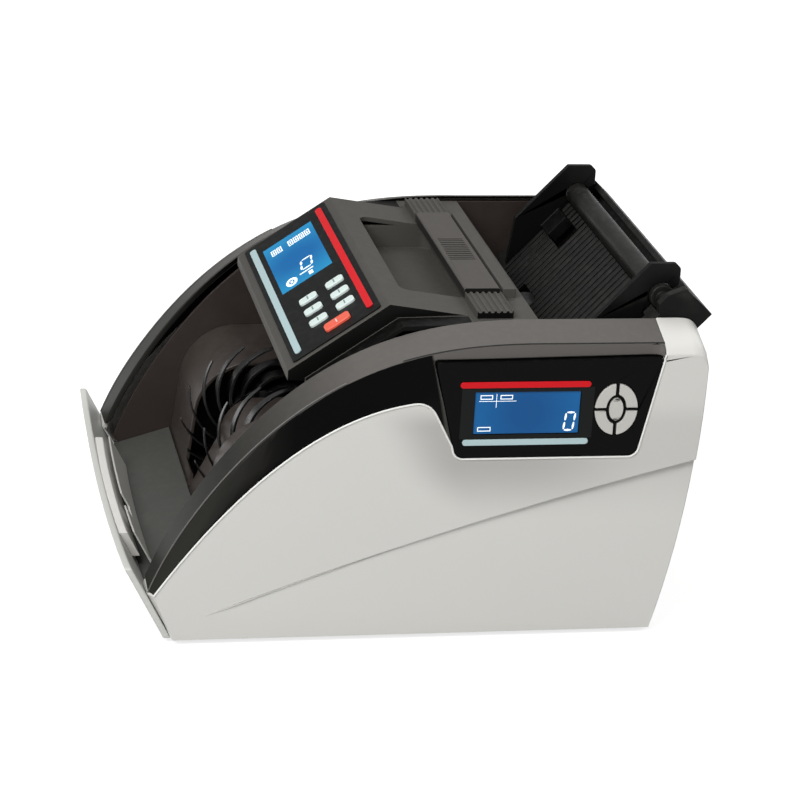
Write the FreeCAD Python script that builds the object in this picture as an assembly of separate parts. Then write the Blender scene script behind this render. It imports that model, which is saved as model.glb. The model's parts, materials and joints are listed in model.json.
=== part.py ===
import FreeCAD, Part
import math
import os

# Desk banknote counting machine with a top rear hopper and a low front stacker.
# Millimetres. +Z up, the stacker faces -Y, the hopper is at +Y, and +X is the
# operator's right, the side that carries the second display. The origin is on
# the table, at the middle of the machine's outline.

Vector = FreeCAD.Vector

# Overall casing
machine_width = 250.0
wall = 2.5
foot_height = 2.5
heel_y = 117.0
back_y = 135.0
back_top_z = 134.0
back_bow = 4.5
rim_end_y = 127.0
fit_gap = 0.3
slip = 0.02

# How far cutting shapes run past what they cut
past = 1.0
far_past = 40.0

# Side arch: a ridge, an inner edge above it and the lower edge of the dark band
ridge_inset = 5.0
ridge_tip_z = 25.0
ridge_top_z = 148.5
inner_tip_z = 23.0
rim_rise = 6.0
band_tip_y = -126.0
band_tip_z = 26.0
band_top_z = 121.5
crest_y = 60.0
band_crest_y = 6.0
arch_power = 2.7
arch_round = 0.87
band_power = 2.0
arch_points = 9
skin = 2.2
band_back_y = 107.0
corner_low_y = 113.5
corner_low_z = 144.0

# Style crease on the light casing
crease_front_y = -104.0
crease_front_z = 14.0
crease_mid_y = 5.0
crease_mid_z = 53.0
crease_back_z = 90.0
crease_depth = 2.5

# Frames, base and feet
frame_wall = 2.0
drive_lane = 19.5
base_wall = 2.0
flange_width = 12.0
flange_front_y = -70.0
flange_back_y = 88.0
foot_radius = 8.0
foot_draft = 0.8
foot_inset = 18.0
screw_head_radius = 3.0
screw_head_height = 1.6
screw_radius = 1.5
screw_clearance = 0.1

# Stacker
panel_end_y = -120.3
panel_lean_y = 19.5
panel_height = 36.5
panel_dip = 6.0
panel_wall = 3.5
panel_bow = 5.0
panel_end_inset = 3.0
pad_half_width = 64.0
pad_thickness = 4.0
pad_low_z = 20.0
stop_wall = 1.0
stop_offset = 3.0
stop_notch_x = 14.0
stop_notch_width = 16.0
stop_notch_depth = 7.0
floor_front_y = -126.0
floor_front_z = 14.0
floor_back_y = -93.0
floor_back_z = 24.15
floor_wall = 2.0
guide_wall = 2.0
guide_arc_radius = 30.0
guide_arc_ahead = 2.5
guide_arc_below = 3.0
guide_tail_y = -19.0
guide_setback = 12.0

# Impeller
impeller_y = -56.0
impeller_z = 55.5
impeller_radius = 40.0
impeller_hub_radius = 17.0
impeller_width = 13.0
impeller_x = 30.0
fin_count = 14
fin_sweep = 78.0
fin_root = 1.8
fin_tip = 0.7
fin_tip_width = 2.0
slot_margin = 3.0

# Note path rollers
shaft_radius = 4.0
shaft_running_gap = 0.05
bush_wall = 2.0
bush_length = 3.4
feed_y = 37.0
feed_z = 65.0
feed_radius = 20.0
kicker_radius = 14.0
kicker_proud = 1.0
kicker_up_slope = 38.0
transport_y = -2.0
transport_z = 73.0
transport_radius = 12.0
pinch_radius = 8.0
retard_radius = 11.0
retard_lean = 10.0
nip_gap = 0.4
tyre_width = 22.0
tyre_x = 34.0
core_wall = 5.0

# Drive
belt_width = 5.0
belt_thickness = 1.2
belt_gap = 0.2
pulley_flange = 1.0
pulley_lip = 0.5
lane_gap = 1.0
feed_pulley_radius = 14.0
kicker_pulley_radius = 10.0
feed_second_radius = 12.0
transport_pulley_radius = 8.0
impeller_pulley_radius = 14.0
motor_pulley_radius = 7.0
motor_y = 78.0
motor_z = 46.0
motor_radius = 18.0
motor_length = 56.0
motor_shaft_radius = 2.5
motor_pilot_radius = 8.0
stacker_motor_y = -20.0
stacker_motor_z = 34.0
stacker_motor_radius = 14.0
stacker_motor_length = 46.0

# Control head
head_from_frame = 13.0
head_wall = 2.5
head_lip_y = -61.0
head_lip_z = 124.8
head_lip_drop = 5.0
head_side_drop = 9.0
head_apex_y = -13.5
head_tilt = 34.5
deck_z = 151.5
deck_front_y = 26.0
deck_back_y = 58.0
shoulder_drop = 8.0
hopper_wall_foot_y = 53.0
hopper_wall_foot_z = 102.0
pocket_half_width = 60.0
pocket_front_y = -3.0
pocket_back_y = 36.0
pocket_floor_z = 138.0
pocket_round = 6.0
overlay_inset = 3.0
overlay_thickness = 0.8
overlay_low = 4.0
overlay_height = 49.8
strip_inset = 6.0
strip_width = 3.6
strip_low = 8.5
strip_high = 49.1
strip_thickness = 0.6
lcd_width = 70.0
lcd_height = 29.6
lcd_left_x = -70.0
lcd_low = 13.2
lcd_thickness = 1.6
key_width = 7.0
key_height = 10.0
key_round = 2.0
key_first_from_red = 47.0
key_pitch_x = 15.9
key_first_up = 24.0
key_pitch_up = 15.3
key_columns = 3
key_rows = 2
red_key_width = 8.4
red_key_height = 14.0
red_key_inset = 12.5
red_key_up = 31.7
key_proud = 1.2
key_travel = 0.8
key_gap = 0.3
key_flange = 1.2
key_flange_height = 1.0

# Carrying bridge with its ribbed end caps and the ledge behind it
bridge_front_y = 28.0
bridge_back_y = 46.0
bridge_thickness = 5.0
bridge_half_width = 62.5
bridge_lift = 10.0
bridge_post = 8.0
bridge_post_inset = 4.0
bridge_stop = 1.5
bridge_stop_height = 2.0
bridge_groove_count = 12
bridge_groove_pitch = 3.0
bridge_groove_width = 1.2
bridge_groove_depth = 0.7
bridge_groove_margin = 2.5
cap_from_frame = 8.0
cap_gap = 1.2
cap_thickness = 4.0
cap_rib_count = 6
cap_rib_depth = 0.8
ledge_depth = 6.5
ledge_height = 5.0
ledge_half_width = 63.0

# Hopper
hopper_tilt = 47.0
hopper_top_y = 122.0
hopper_top_z = 162.5
hopper_length = 105.0
hopper_plate = 3.0
cheek_width = 5.0
cheek_start = 26.0
cheek_depth = 17.0
tail_depth = 19.0
tail_length = 16.0
rib_count = 27
rib_pitch = 6.0
rib_groove = 2.4
rib_depth = 0.8
rod_radius = 6.0
rod_below_top = 3.0
rod_neck_radius = 3.0
cheek_rise = 4.0
tail_past_rod = 11.5
slot_low = 76.0
slot_high = 90.0
slot_reach = 35.5
guide_from_frame = 17.0
guide_plate = 3.0
guide_lift = 0.4
guide_height = 15.8
guide_start = 48.5
guide_shoulder = 70.0
guide_corner = 109.4
guide_top_length = 13.0
guide_chamfer = 2.5
guide_rear_drop = 8.0
guide_out = 3.0
guide_foot = 15.0
guide_foot_depth = 4.0
guide_foot_proud = 2.0

# Side display on the operator's right
bezel_depth = 7.0
bezel_sink = 0.6
bezel_top_fall = 2.0
bezel_front_y = 3.0
bezel_back_y = 113.0
bezel_top_z = 142.5
bezel_low_z = 93.0
bezel_front_lean = 11.5
bezel_back_lean = 10.5
bezel_round = 5.0
bezel_top_round = 1.5
bezel_rim = 7.0
hump_round = 10.0
side_lcd_y = 48.0
side_lcd_z = 115.5
side_lcd_width = 51.0
side_lcd_height = 21.0
side_lcd_thickness = 1.8
side_lcd_sink = 0.5
side_strip_width = 63.0
side_strip_y = 46.5
side_red_z = 129.8
side_pale_z = 101.0
side_strip_height = 3.0
side_strip_round = 1.4
side_pale_width = 61.0
side_pale_y = 48.0
ring_y = 91.2
ring_z = 116.8
ring_half_y = 10.4
ring_half_z = 12.8
ring_inner_y = 5.0
ring_inner_z = 7.4
hub_half_y = 3.4
hub_half_z = 5.6
ring_split = 1.8
side_key_depth = 5.0

# Rear panel and power inlet
rear_rise = 11.5
vent_count = 9
vent_width = 3.0
vent_pitch = 7.0
vent_height = 26.0
vent_z = 86.0
inlet_from_frame = 39.0
inlet_z = 40.0
inlet_width = 54.0
inlet_height = 30.0
inlet_depth = 24.0
inlet_rim = 2.0
inlet_inset = 4.0
rocker_width = 13.0
rocker_height = 20.0
rocker_travel = 12.0
rocker_depth = 7.0
rocker_pin_radius = 1.5
rocker_pin_length = 1.6
socket_width = 28.0
socket_height = 20.0
socket_depth = 14.0
prong_width = 2.0
prong_height = 4.0
prong_spread = 7.0
prong_recess = 5.0

# Boards
board_wall = 1.6
board_margin = 4.0
boss_radius = 3.0
board_width = 124.0
board_from_frame = 11.0
board_y0 = 0.0
board_y1 = 92.0
standoff_height = 6.0
standoff_radius = 4.0
transformer_size_x = 38.0
transformer_size_y = 34.0
transformer_size_z = 32.0

# Stations across the width
skin_x = machine_width / 2
skin_in_x = skin_x - wall
frame_out_x = skin_in_x - drive_lane
frame_in_x = frame_out_x - frame_wall
inside_x = frame_in_x - fit_gap
ridge_x = skin_x - ridge_inset
board_x1 = frame_in_x - board_from_frame
board_x0 = board_x1 - board_width
inlet_x = frame_in_x - inlet_from_frame
head_half_width = frame_in_x - head_from_frame
overlay_half_width = head_half_width - overlay_inset
strip_half_width = overlay_half_width - strip_inset
red_key_x = overlay_half_width - red_key_inset
key_first_x = red_key_x - key_first_from_red
cap_end_x = frame_in_x - cap_from_frame
guide_x = frame_in_x - guide_from_frame
slot_inner_x = guide_x - slot_reach
rod_shoulder_x = guide_x + guide_plate / 2 + guide_out + fit_gap
base_top_z = foot_height + base_wall
inner_top_z = ridge_top_z + rim_rise
panel_half_width = skin_x - panel_end_inset
panel_centre_y = panel_end_y - panel_bow + (panel_half_width ** 2 + panel_bow ** 2) / (2 * panel_bow)
lane_one_x = frame_out_x + lane_gap + pulley_flange
lane_two_x = lane_one_x + belt_width + 2 * pulley_flange + lane_gap


def panel_line(depth, z):
    """Middle of the front panel's face at a height, drawn in by depth."""
    return panel_end_y - panel_bow + depth - (z - foot_height) * panel_lean_y / panel_height


def panel_back(x, z):
    """Inner face of the bowed front panel at a place across and up, with its fit clearance."""
    reach = panel_centre_y - panel_line(panel_wall + fit_gap, z)
    return panel_centre_y - math.sqrt(reach ** 2 - x ** 2)


toe_y = panel_back(panel_half_width, foot_height)
inner_tip_y = panel_back(frame_in_x, inner_tip_z)
ridge_tip_y = panel_back(ridge_x, ridge_tip_z)


def save(name, shape):
    """Write one named piece, moved so that the middle of the machine's outline is at the origin."""
    front = panel_line(0, foot_height + panel_height - panel_dip)
    rear = hopper_point(tail_tip(), -tail_depth)[0]
    placed = shape.copy()
    placed.translate(Vector(0, -(front + rear) / 2, 0))
    placed.exportStep("parts/" + name + ".step")
    print(name, "solids", len(shape.Solids), "volume", round(shape.Volume), shape.isValid())


def box(x0, x1, y0, y1, z0, z1):
    """Box between two corners."""
    return Part.makeBox(x1 - x0, y1 - y0, z1 - z0, Vector(x0, y0, z0))


def polygon_face(points):
    """Face inside a closed polygon of vectors."""
    return Part.Face(Part.makePolygon(points + points[:1]))


def prism(outline, x0, x1):
    """Outline of (y, z) points carried along X."""
    points = [Vector(x0, y, z) for y, z in outline]
    return polygon_face(points).extrude(Vector(x1 - x0, 0, 0))


def rod(y, z, radius, x0, x1):
    """Round bar along X."""
    return Part.makeCylinder(radius, x1 - x0, Vector(x0, y, z), Vector(1, 0, 0))


def tube(y, z, outer, inner, x0, x1):
    """Round tube along X."""
    return rod(y, z, outer, x0, x1).cut(rod(y, z, inner, x0, x1))


def mirrored(shape):
    """The same shape on the other side of the machine."""
    return shape.mirror(Vector(0, 0, 0), Vector(1, 0, 0))


def joined(shapes):
    """One solid from touching shapes, with flush faces merged."""
    whole = shapes[0]
    if len(shapes) > 1:
        whole = whole.fuse(shapes[1:])
    return whole.removeSplitter()


def both_sides(shape):
    """A shape and its mirror image as separate solids."""
    return Part.makeCompound([shape, mirrored(shape)])


def rounded_plate(width, height, thickness, radius):
    """Plate centred on the origin in XY, its upright corners rounded."""
    plate = Part.makeBox(width, height, thickness, Vector(-width / 2, -height / 2, 0))
    upright = [e for e in plate.Edges if abs(e.BoundBox.ZLength - thickness) < 1e-6]
    return plate.makeFillet(min(radius, 0.49 * min(width, height)), upright)


def arch_line(tip_y, tip_z, top_y, top_z, power, roundness):
    """Points of an arch that climbs from its tip and levels off at its top."""
    points = []
    for i in range(arch_points):
        share = 1 - (i / (arch_points - 1)) ** 1.5
        climb = (1 - share ** power) ** roundness
        points.append((top_y - share * (top_y - tip_y), tip_z + climb * (top_z - tip_z)))
    return points


def curve(points, x):
    """Smooth edge through (y, z) points in the plane at x."""
    spline = Part.BSplineCurve()
    spline.interpolate([Vector(x, y, z) for y, z in points])
    return spline.toShape()


def back_arc(x, shift, low_z, high_z):
    """Bowed rear edge from top to bottom, moved forward by shift."""
    top = Vector(x, back_y - shift, high_z)
    foot = Vector(x, heel_y - shift, low_z)
    middle = (top + foot) * 0.5 + Vector(0, back_bow, 0)
    return Part.Arc(top, middle, foot).toShape()


def side_section(x, points, rear_z, shift):
    """Closed section of the side body in the plane at x, its rear corner rising to rear_z."""
    low_z = foot_height
    round_size = back_y - rim_end_y
    start = Vector(x, points[0][0], points[0][1])
    crest = Vector(x, points[-1][0], points[-1][1])
    step_low = Vector(x, band_back_y + shift, points[-1][1])
    step_high = Vector(x, corner_low_y + shift, rear_z)
    rim_end = Vector(x, rim_end_y - shift, rear_z)
    turn = Vector(x, back_y - shift, rear_z - round_size)
    high = Vector(x, back_y - shift, back_top_z - shift)
    foot = Vector(x, heel_y - shift, low_z)
    toe = Vector(x, toe_y + shift, low_z)
    half = round_size * math.sqrt(0.5)
    middle = Vector(x, rim_end.y + half, turn.z + half)
    edges = [
        curve(points, x),
        Part.makeLine(crest, step_low),
        Part.makeLine(step_low, step_high),
        Part.makeLine(step_high, rim_end),
        Part.Arc(rim_end, middle, turn).toShape(),
        Part.makeLine(turn, high),
        back_arc(x, shift, low_z, high.z),
        Part.makeLine(foot, toe),
        Part.makeLine(toe, start),
    ]
    return Part.Wire(edges)


def inner_points():
    """Arch of the inner edge of the top cover."""
    return arch_line(inner_tip_y, inner_tip_z, crest_y, inner_top_z, arch_power, arch_round)


def ridge_points():
    """Arch of the ridge between the top and the dark band."""
    return arch_line(ridge_tip_y, ridge_tip_z, crest_y, ridge_top_z, arch_power, arch_round)


def outer_points():
    """Arch that the outer face reaches, the lower edge of the dark band."""
    return arch_line(band_tip_y, band_tip_z, band_crest_y, band_top_z, band_power, 1.0)


def shifted(points, dy, dz):
    """Points moved in the side plane."""
    return [(y + dy, z + dz) for y, z in points]


def side_body(depth):
    """Whole side of the machine from the frame out, drawn in by depth for its hollow."""
    inner = shifted(inner_points(), depth, -depth)
    ridge = shifted(ridge_points(), depth, -depth)
    outer = shifted(outer_points(), depth, -depth)
    first_x = frame_in_x if depth == 0 else frame_in_x - past
    sections = [
        side_section(first_x, inner, inner_top_z - depth, depth),
        side_section(ridge_x - depth, ridge, ridge_top_z - depth, depth),
        side_section(skin_x - depth, outer, corner_low_z - depth, depth),
    ]
    return Part.makeLoft(sections, True, True).cut(crease_cutter(depth))


def band_region():
    """Everything above the lower edge of the dark band, through the whole width."""
    x0 = frame_in_x - far_past
    high = inner_top_z + far_past
    ahead = inner_tip_y - far_past
    points = outer_points()
    start = Vector(x0, points[0][0], points[0][1])
    crest = Vector(x0, points[-1][0], points[-1][1])
    back = [
        Vector(x0, band_back_y, band_top_z),
        Vector(x0, corner_low_y, corner_low_z),
        Vector(x0, corner_low_y, high),
        Vector(x0, ahead, high),
        Vector(x0, ahead, band_tip_z),
    ]
    path = [crest] + back + [start]
    edges = [curve(points, x0)]
    edges += [Part.makeLine(path[i], path[i + 1]) for i in range(len(path) - 1)]
    return Part.Face(Part.Wire(edges)).extrude(Vector(skin_x - x0 + far_past, 0, 0))


def crease_cutter(depth):
    """Wedge under the style crease, nothing at the front and deepest at the rear, moved in by depth."""
    face_x = skin_x - depth
    x0 = face_x - 2 * crease_depth
    tail_y = back_y + far_past / 2
    slope = (crease_back_z - crease_mid_z) / (back_y - crease_mid_y)
    front = Vector(x0, crease_front_y, crease_front_z)
    middle = Vector(x0, crease_mid_y, crease_mid_z)
    tail = Vector(x0, tail_y, crease_back_z + slope * (tail_y - back_y))
    low_tail = Vector(x0, tail_y, foot_height - far_past)
    low_front = Vector(x0, crease_front_y, foot_height - far_past)
    edges = [
        Part.Arc(front, middle, tail).toShape(),
        Part.makeLine(tail, low_tail),
        Part.makeLine(low_tail, low_front),
        Part.makeLine(low_front, front),
    ]
    below = Part.Face(Part.Wire(edges)).extrude(Vector(6 * crease_depth, 0, 0))
    toe = Vector(face_x, crease_front_y, crease_front_z)
    heel = Vector(face_x, heel_y, foot_height)
    deep = Vector(face_x - crease_depth, back_y, crease_back_z)
    normal = (heel - toe).cross(deep - toe)
    normal.normalize()
    if normal.x < 0:
        normal = normal * -1
    far = 4 * machine_width
    half_space = Part.makeBox(far, far, far, Vector(-far / 2, -far / 2, 0))
    turn = FreeCAD.Rotation(Vector(0, 0, 1), normal)
    half_space.Placement = FreeCAD.Placement(toe, turn)
    return below.common(half_space)


def bezel_outline(grow):
    """Outline of the side display, grown by a clearance."""
    front_low = bezel_front_y + bezel_front_lean
    back_low = bezel_back_y - bezel_back_lean
    return [
        (bezel_front_y - grow, bezel_top_z - bezel_top_fall + grow),
        (bezel_back_y + grow, bezel_top_z + grow),
        (back_low + grow, bezel_low_z - grow),
        (front_low - grow, bezel_low_z - grow),
    ]


def rounded_prism(outline, x0, x1, low_round, top_round):
    """Outline carried along X, its lower and upper long edges rounded."""
    body = prism(outline, x0, x1)
    middle = sum(z for y, z in outline) / len(outline)
    low = [e for e in body.Edges if e.BoundBox.XLength > 0.9 * (x1 - x0) and e.BoundBox.ZMax < middle]
    body = body.makeFillet(low_round, low)
    top = [e for e in body.Edges if e.BoundBox.XLength > 0.9 * (x1 - x0) and e.BoundBox.ZMin > middle]
    return body.makeFillet(top_round, top)


def dark_region(band, x0, x1):
    """Band and tapered frame of the right-hand cover, the casing's corner between them rounded."""
    whole = band.fuse(rim_region(x0, x1)).removeSplitter()
    corner = [e for e in whole.Edges if e.BoundBox.XLength > 0.9 * (x1 - x0) and at_hump(e.CenterOfMass)]
    return whole.makeFillet(hump_round, corner)


def at_hump(spot):
    """Whether a point lies at the corner between the band and the frame of the side display."""
    high = bezel_top_z - bezel_top_fall
    front = bezel_front_y + bezel_front_lean * (high - band_top_z) / (high - bezel_low_z) - bezel_rim
    return abs(spot.y - front) < bezel_rim / 2 and abs(spot.z - band_top_z) < bezel_rim / 2


def rim_region(x0, x1):
    """Tapered frame of the right-hand cover, in front of the side display."""
    high = bezel_top_z - bezel_top_fall
    slope = bezel_front_lean / (high - bezel_low_z)
    top_z = band_top_z + past
    foot_z = bezel_low_z + bezel_round
    top_y = bezel_front_y + slope * (high - top_z)
    foot_y = bezel_front_y + slope * (high - foot_z)
    outline = [
        (top_y - bezel_rim, top_z),
        (top_y + bezel_rim, top_z),
        (foot_y + bezel_rim, foot_z),
        (foot_y, foot_z),
    ]
    return prism(outline, x0, x1)


def frame_shape(side):
    """Side plate that carries the shafts, with its foot flange, for the right-hand side."""
    rim_slope = rim_rise / (ridge_x - frame_in_x)
    lower = skin + fit_gap + rim_slope * (frame_wall + 1)
    points = shifted(inner_points(), wall + lower, -lower)
    x0 = frame_in_x
    last = points[-1]
    back_top = Vector(x0, rim_end_y - wall, last[1])
    back_side = wall + fit_gap
    high = Vector(x0, back_y - back_side, back_top_z)
    foot = Vector(x0, heel_y - back_side, base_top_z)
    toe = Vector(x0, toe_y + wall, base_top_z)
    start = Vector(x0, points[0][0], points[0][1])
    crest = Vector(x0, last[0], last[1])
    edges = [
        curve(points, x0),
        Part.makeLine(crest, back_top),
        Part.makeLine(back_top, high),
        back_arc(x0, back_side, base_top_z, back_top_z),
        Part.makeLine(foot, toe),
        Part.makeLine(toe, start),
    ]
    plate = Part.Face(Part.Wire(edges)).extrude(Vector(frame_wall, 0, 0))
    flange_in = frame_in_x - flange_width
    flange = box(flange_in, frame_out_x, flange_front_y, flange_back_y, base_top_z, base_top_z + frame_wall)
    body = joined([plate, flange])
    for y, z in shaft_places():
        body = body.cut(rod(y, z, bush_radius() + slip, frame_in_x - past, frame_out_x + past))
    ry, rz = retard_place()
    body = body.cut(rod(ry, rz, shaft_radius + slip, frame_in_x - past, frame_out_x + past))
    for x, y in screw_places():
        if x > 0:
            hole = Part.makeCylinder(screw_radius + screw_clearance, far_past, Vector(x, y, 0))
            body = body.cut(hole)
    if side < 0:
        body = mirrored(body)
        body = body.cut(rod(motor_y, motor_z, motor_pilot_radius, -frame_out_x - past, -frame_in_x + past))
    else:
        x1 = frame_out_x + past
        body = body.cut(rod(stacker_motor_y, stacker_motor_z, motor_pilot_radius, frame_in_x - past, x1))
    return body


def bush_radius():
    """Outside of the plain bearing in the side frame."""
    return shaft_radius + shaft_running_gap + bush_wall


def hopper_low():
    """Lower end of the hopper face."""
    tilt = math.radians(hopper_tilt)
    return (hopper_top_y - hopper_length * math.cos(tilt), hopper_top_z - hopper_length * math.sin(tilt))


def hopper_point(up, out):
    """Side-plane point at a distance up the hopper face and out of it."""
    tilt = math.radians(hopper_tilt)
    y, z = hopper_low()
    return (y + up * math.cos(tilt) - out * math.sin(tilt), z + up * math.sin(tilt) + out * math.cos(tilt))


def on_hopper(shape):
    """Move a shape drawn flat, up the face along Y and out of it along Z, onto the hopper."""
    y, z = hopper_low()
    placed = shape.copy()
    turn = FreeCAD.Rotation(Vector(1, 0, 0), hopper_tilt)
    placed.Placement = FreeCAD.Placement(Vector(0, y, z), turn).multiply(shape.Placement)
    return placed


def on_head(shape):
    """Move a shape drawn flat, up the control face along Y and out of it along Z, onto the face."""
    placed = shape.copy()
    turn = FreeCAD.Rotation(Vector(1, 0, 0), head_tilt)
    placed.Placement = FreeCAD.Placement(Vector(0, head_lip_y, head_lip_z), turn).multiply(shape.Placement)
    return placed


def kicker_place():
    """Axis of the kicker roller under the hopper face."""
    return hopper_point(kicker_up_slope, kicker_proud - kicker_radius)


def pinch_place():
    """Axis of the sprung pinch rollers above the transport roller."""
    return (transport_y, transport_z + transport_radius + nip_gap + pinch_radius)


def retard_place():
    """Axis of the fixed retard roller above the feed roller."""
    reach = feed_radius + nip_gap + retard_radius
    lean = math.radians(90 + retard_lean)
    return (feed_y + reach * math.cos(lean), feed_z + reach * math.sin(lean))


def shaft_places():
    """Axes of all turning shafts that run in the frames."""
    return [
        (feed_y, feed_z),
        kicker_place(),
        (transport_y, transport_z),
        (impeller_y, impeller_z),
        pinch_place(),
    ]


def screw_places():
    """Screws that hold the frames down on the base."""
    x = frame_in_x - flange_width / 2
    middle = (flange_front_y + flange_back_y) / 2
    ends = [flange_front_y + flange_width, middle, flange_back_y - flange_width]
    return [(side * x, y) for side in (-1, 1) for y in ends]


def foot_places():
    """Centres of the four feet."""
    x = skin_in_x - foot_inset
    return [(sx * x, y) for sx in (-1, 1) for y in (toe_y + foot_inset, heel_y - foot_inset)]


def standoff_places():
    """Board pillars on the base."""
    edge = 2 * standoff_radius
    return [(x, y) for x in (board_x0 + edge, board_x1 - edge) for y in (board_y0 + edge, board_y1 - edge)]


def make_base():
    """Base plate, feet and the screws through it."""
    half = skin_in_x - fit_gap
    front = toe_y + wall + fit_gap
    back = heel_y - wall - fit_gap
    plate = box(-half, half, front, back, foot_height, base_top_z)
    for x, y in standoff_places():
        pillar = Part.makeCylinder(standoff_radius, standoff_height, Vector(x, y, base_top_z))
        plate = plate.fuse(pillar)
    plate = plate.removeSplitter()
    screws = []
    for x, y in screw_places():
        plate = plate.cut(Part.makeCylinder(screw_radius + screw_clearance, far_past / 2, Vector(x, y, 0)))
        under = Vector(x, y, foot_height - screw_head_height)
        head = Part.makeCylinder(screw_head_radius, screw_head_height, under)
        shank_length = base_wall + frame_wall + screw_head_height + 2 * past
        shank = Part.makeCylinder(screw_radius, shank_length, under)
        screws.append(head.fuse(shank).removeSplitter())
    save("base_plate", plate)
    save("case_screws", Part.makeCompound(screws))
    feet = []
    for x, y in foot_places():
        feet.append(Part.makeCone(foot_radius - foot_draft, foot_radius, foot_height, Vector(x, y, 0)))
    save("rubber_feet", Part.makeCompound(feet))


def make_frames():
    """Both side frames and the plain bearings in them."""
    save("side_frame_left", frame_shape(-1))
    save("side_frame_right", frame_shape(1))
    bushes = []
    for y, z in shaft_places():
        x0 = frame_in_x - (bush_length - frame_wall) / 2
        sleeve = tube(y, z, bush_radius(), shaft_radius + shaft_running_gap, x0, x0 + bush_length)
        bushes += [sleeve, mirrored(sleeve)]
    save("shaft_bushes", Part.makeCompound(bushes))


def make_sides():
    """Light side casings and the dark arched covers above them."""
    whole = side_body(0)
    hollow = side_body(skin)
    above = band_region()
    far_y = back_y + far_past
    high = inner_top_z + far_past
    outboard = box(frame_out_x + fit_gap, skin_x + past, inner_tip_y - far_past, far_y, 0, high)
    corner = box(frame_in_x, skin_x, band_back_y, far_y, back_top_z + fit_gap, high)
    outboard = joined([outboard, corner])
    shell = whole.cut(hollow)
    save("left_top_cover", mirrored(shell.common(above)))
    save("left_side_casing", mirrored(shell.cut(above).common(outboard)))
    x0 = frame_out_x + past
    x1 = skin_x + past
    side = box(x0, x1, inner_tip_y - far_past, far_y, 0, high)
    dark = above.fuse(dark_region(above.common(side), x0, x1))
    window = rounded_prism(bezel_outline(fit_gap), x0, x1, bezel_round + fit_gap, bezel_top_round)
    save("right_top_cover", shell.common(dark).cut(window))
    save("right_side_casing", shell.cut(dark).common(outboard).cut(window))


def bowed_strip(section, half):
    """Section of (y, z) points at the middle, swept round the front panel's bow."""
    face = polygon_face([Vector(0, y, z) for y, z in section])
    spread = 2 * math.degrees(math.asin(half / panel_centre_y)) + 2
    face.rotate(Vector(0, panel_centre_y, 0), Vector(0, 0, 1), -spread / 2)
    bowed = face.revolve(Vector(0, panel_centre_y, 0), Vector(0, 0, 1), spread)
    far = 2 * machine_width
    return bowed.common(box(-half, half, -far, far, -far, far))


def leaning_section(depth, thickness, low, high):
    """Leaning section that lies parallel to the front panel."""
    return [
        (panel_line(depth, low), low),
        (panel_line(depth, high), high),
        (panel_line(depth + thickness, high), high),
        (panel_line(depth + thickness, low), low),
    ]


def floor_height(y):
    """Top of the sloping stacker floor."""
    share = (y - floor_front_y) / (floor_back_y - floor_front_y)
    return floor_front_z + share * (floor_back_z - floor_front_z)


def make_front():
    """Bowed front panel with the pad and the thin stop plate inside it."""
    low = foot_height
    high = foot_height + panel_height
    panel = bowed_strip(leaning_section(0, panel_wall, low, high), panel_half_width)
    dip_half = panel_half_width - panel_wall
    dip_radius = (dip_half ** 2 + panel_dip ** 2) / (2 * panel_dip)
    dip_z = high - panel_dip + dip_radius
    dip_end = Vector(0, panel_end_y - far_past, dip_z)
    dip = Part.makeCylinder(dip_radius, 2 * far_past, dip_end, Vector(0, 1, 0))
    panel = panel.cut(dip)
    save("front_panel", panel)
    pad_high = high - panel_dip
    pad_depth = panel_wall + slip
    pad = leaning_section(pad_depth, pad_thickness, pad_low_z, pad_high)
    save("note_stop_pad", bowed_strip(pad, pad_half_width))
    stop_depth = pad_depth + pad_thickness + stop_offset
    stop_low = floor_height(panel_line(stop_depth + stop_wall, floor_front_z)) + fit_gap
    stop = bowed_strip(leaning_section(stop_depth, stop_wall, stop_low, pad_high), pad_half_width)
    notch_x = stop_notch_x + stop_notch_width
    notch = box(stop_notch_x, notch_x, -machine_width, 0, pad_high - stop_notch_depth, pad_high + past)
    save("note_stop_plate", stop.cut(notch))


def make_stacker():
    """Sloping stacker floor and the curved guide behind the impeller wheels."""
    ahead = floor_front_y - far_past
    under = floor_wall
    outline = [
        (ahead, floor_height(ahead)),
        (floor_back_y, floor_back_z),
        (floor_back_y, floor_back_z - under),
        (ahead, floor_height(ahead) - under),
    ]
    low = foot_height - 2 * far_past
    high = foot_height + panel_height
    reach = 3 * far_past
    front_of_panel = leaning_section(-reach, reach + panel_wall + fit_gap, low, high)
    slab = prism(outline, -inside_x, inside_x)
    save("stacker_floor", slab.cut(bowed_strip(front_of_panel, panel_half_width)))
    cy = impeller_y - guide_arc_ahead
    cz = impeller_z - guide_arc_below
    half = impeller_width / 2 + slot_margin
    lane = impeller_x - half
    middle_lane = box(-lane, lane, floor_back_y - past, guide_tail_y + 2 * past, 0, inner_top_z)
    shell = guide_shell(cy, cz, guide_arc_radius).cut(middle_lane)
    shell = shell.fuse(guide_shell(cy, cz, guide_arc_radius - guide_setback).common(middle_lane))
    for side in (-1, 1):
        middle = side * impeller_x
        sweep = impeller_radius + slot_margin
        shell = shell.cut(rod(impeller_y, impeller_z, sweep, middle - half, middle + half))
    save("stacker_guide", shell.removeSplitter())


def guide_shell(cy, cz, radius):
    """Curved sheet of the stacker guide at a radius."""
    outer = guide_section(cy, cz, radius, 0)
    return outer.cut(guide_section(cy, cz, radius - guide_wall, guide_wall))


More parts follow.
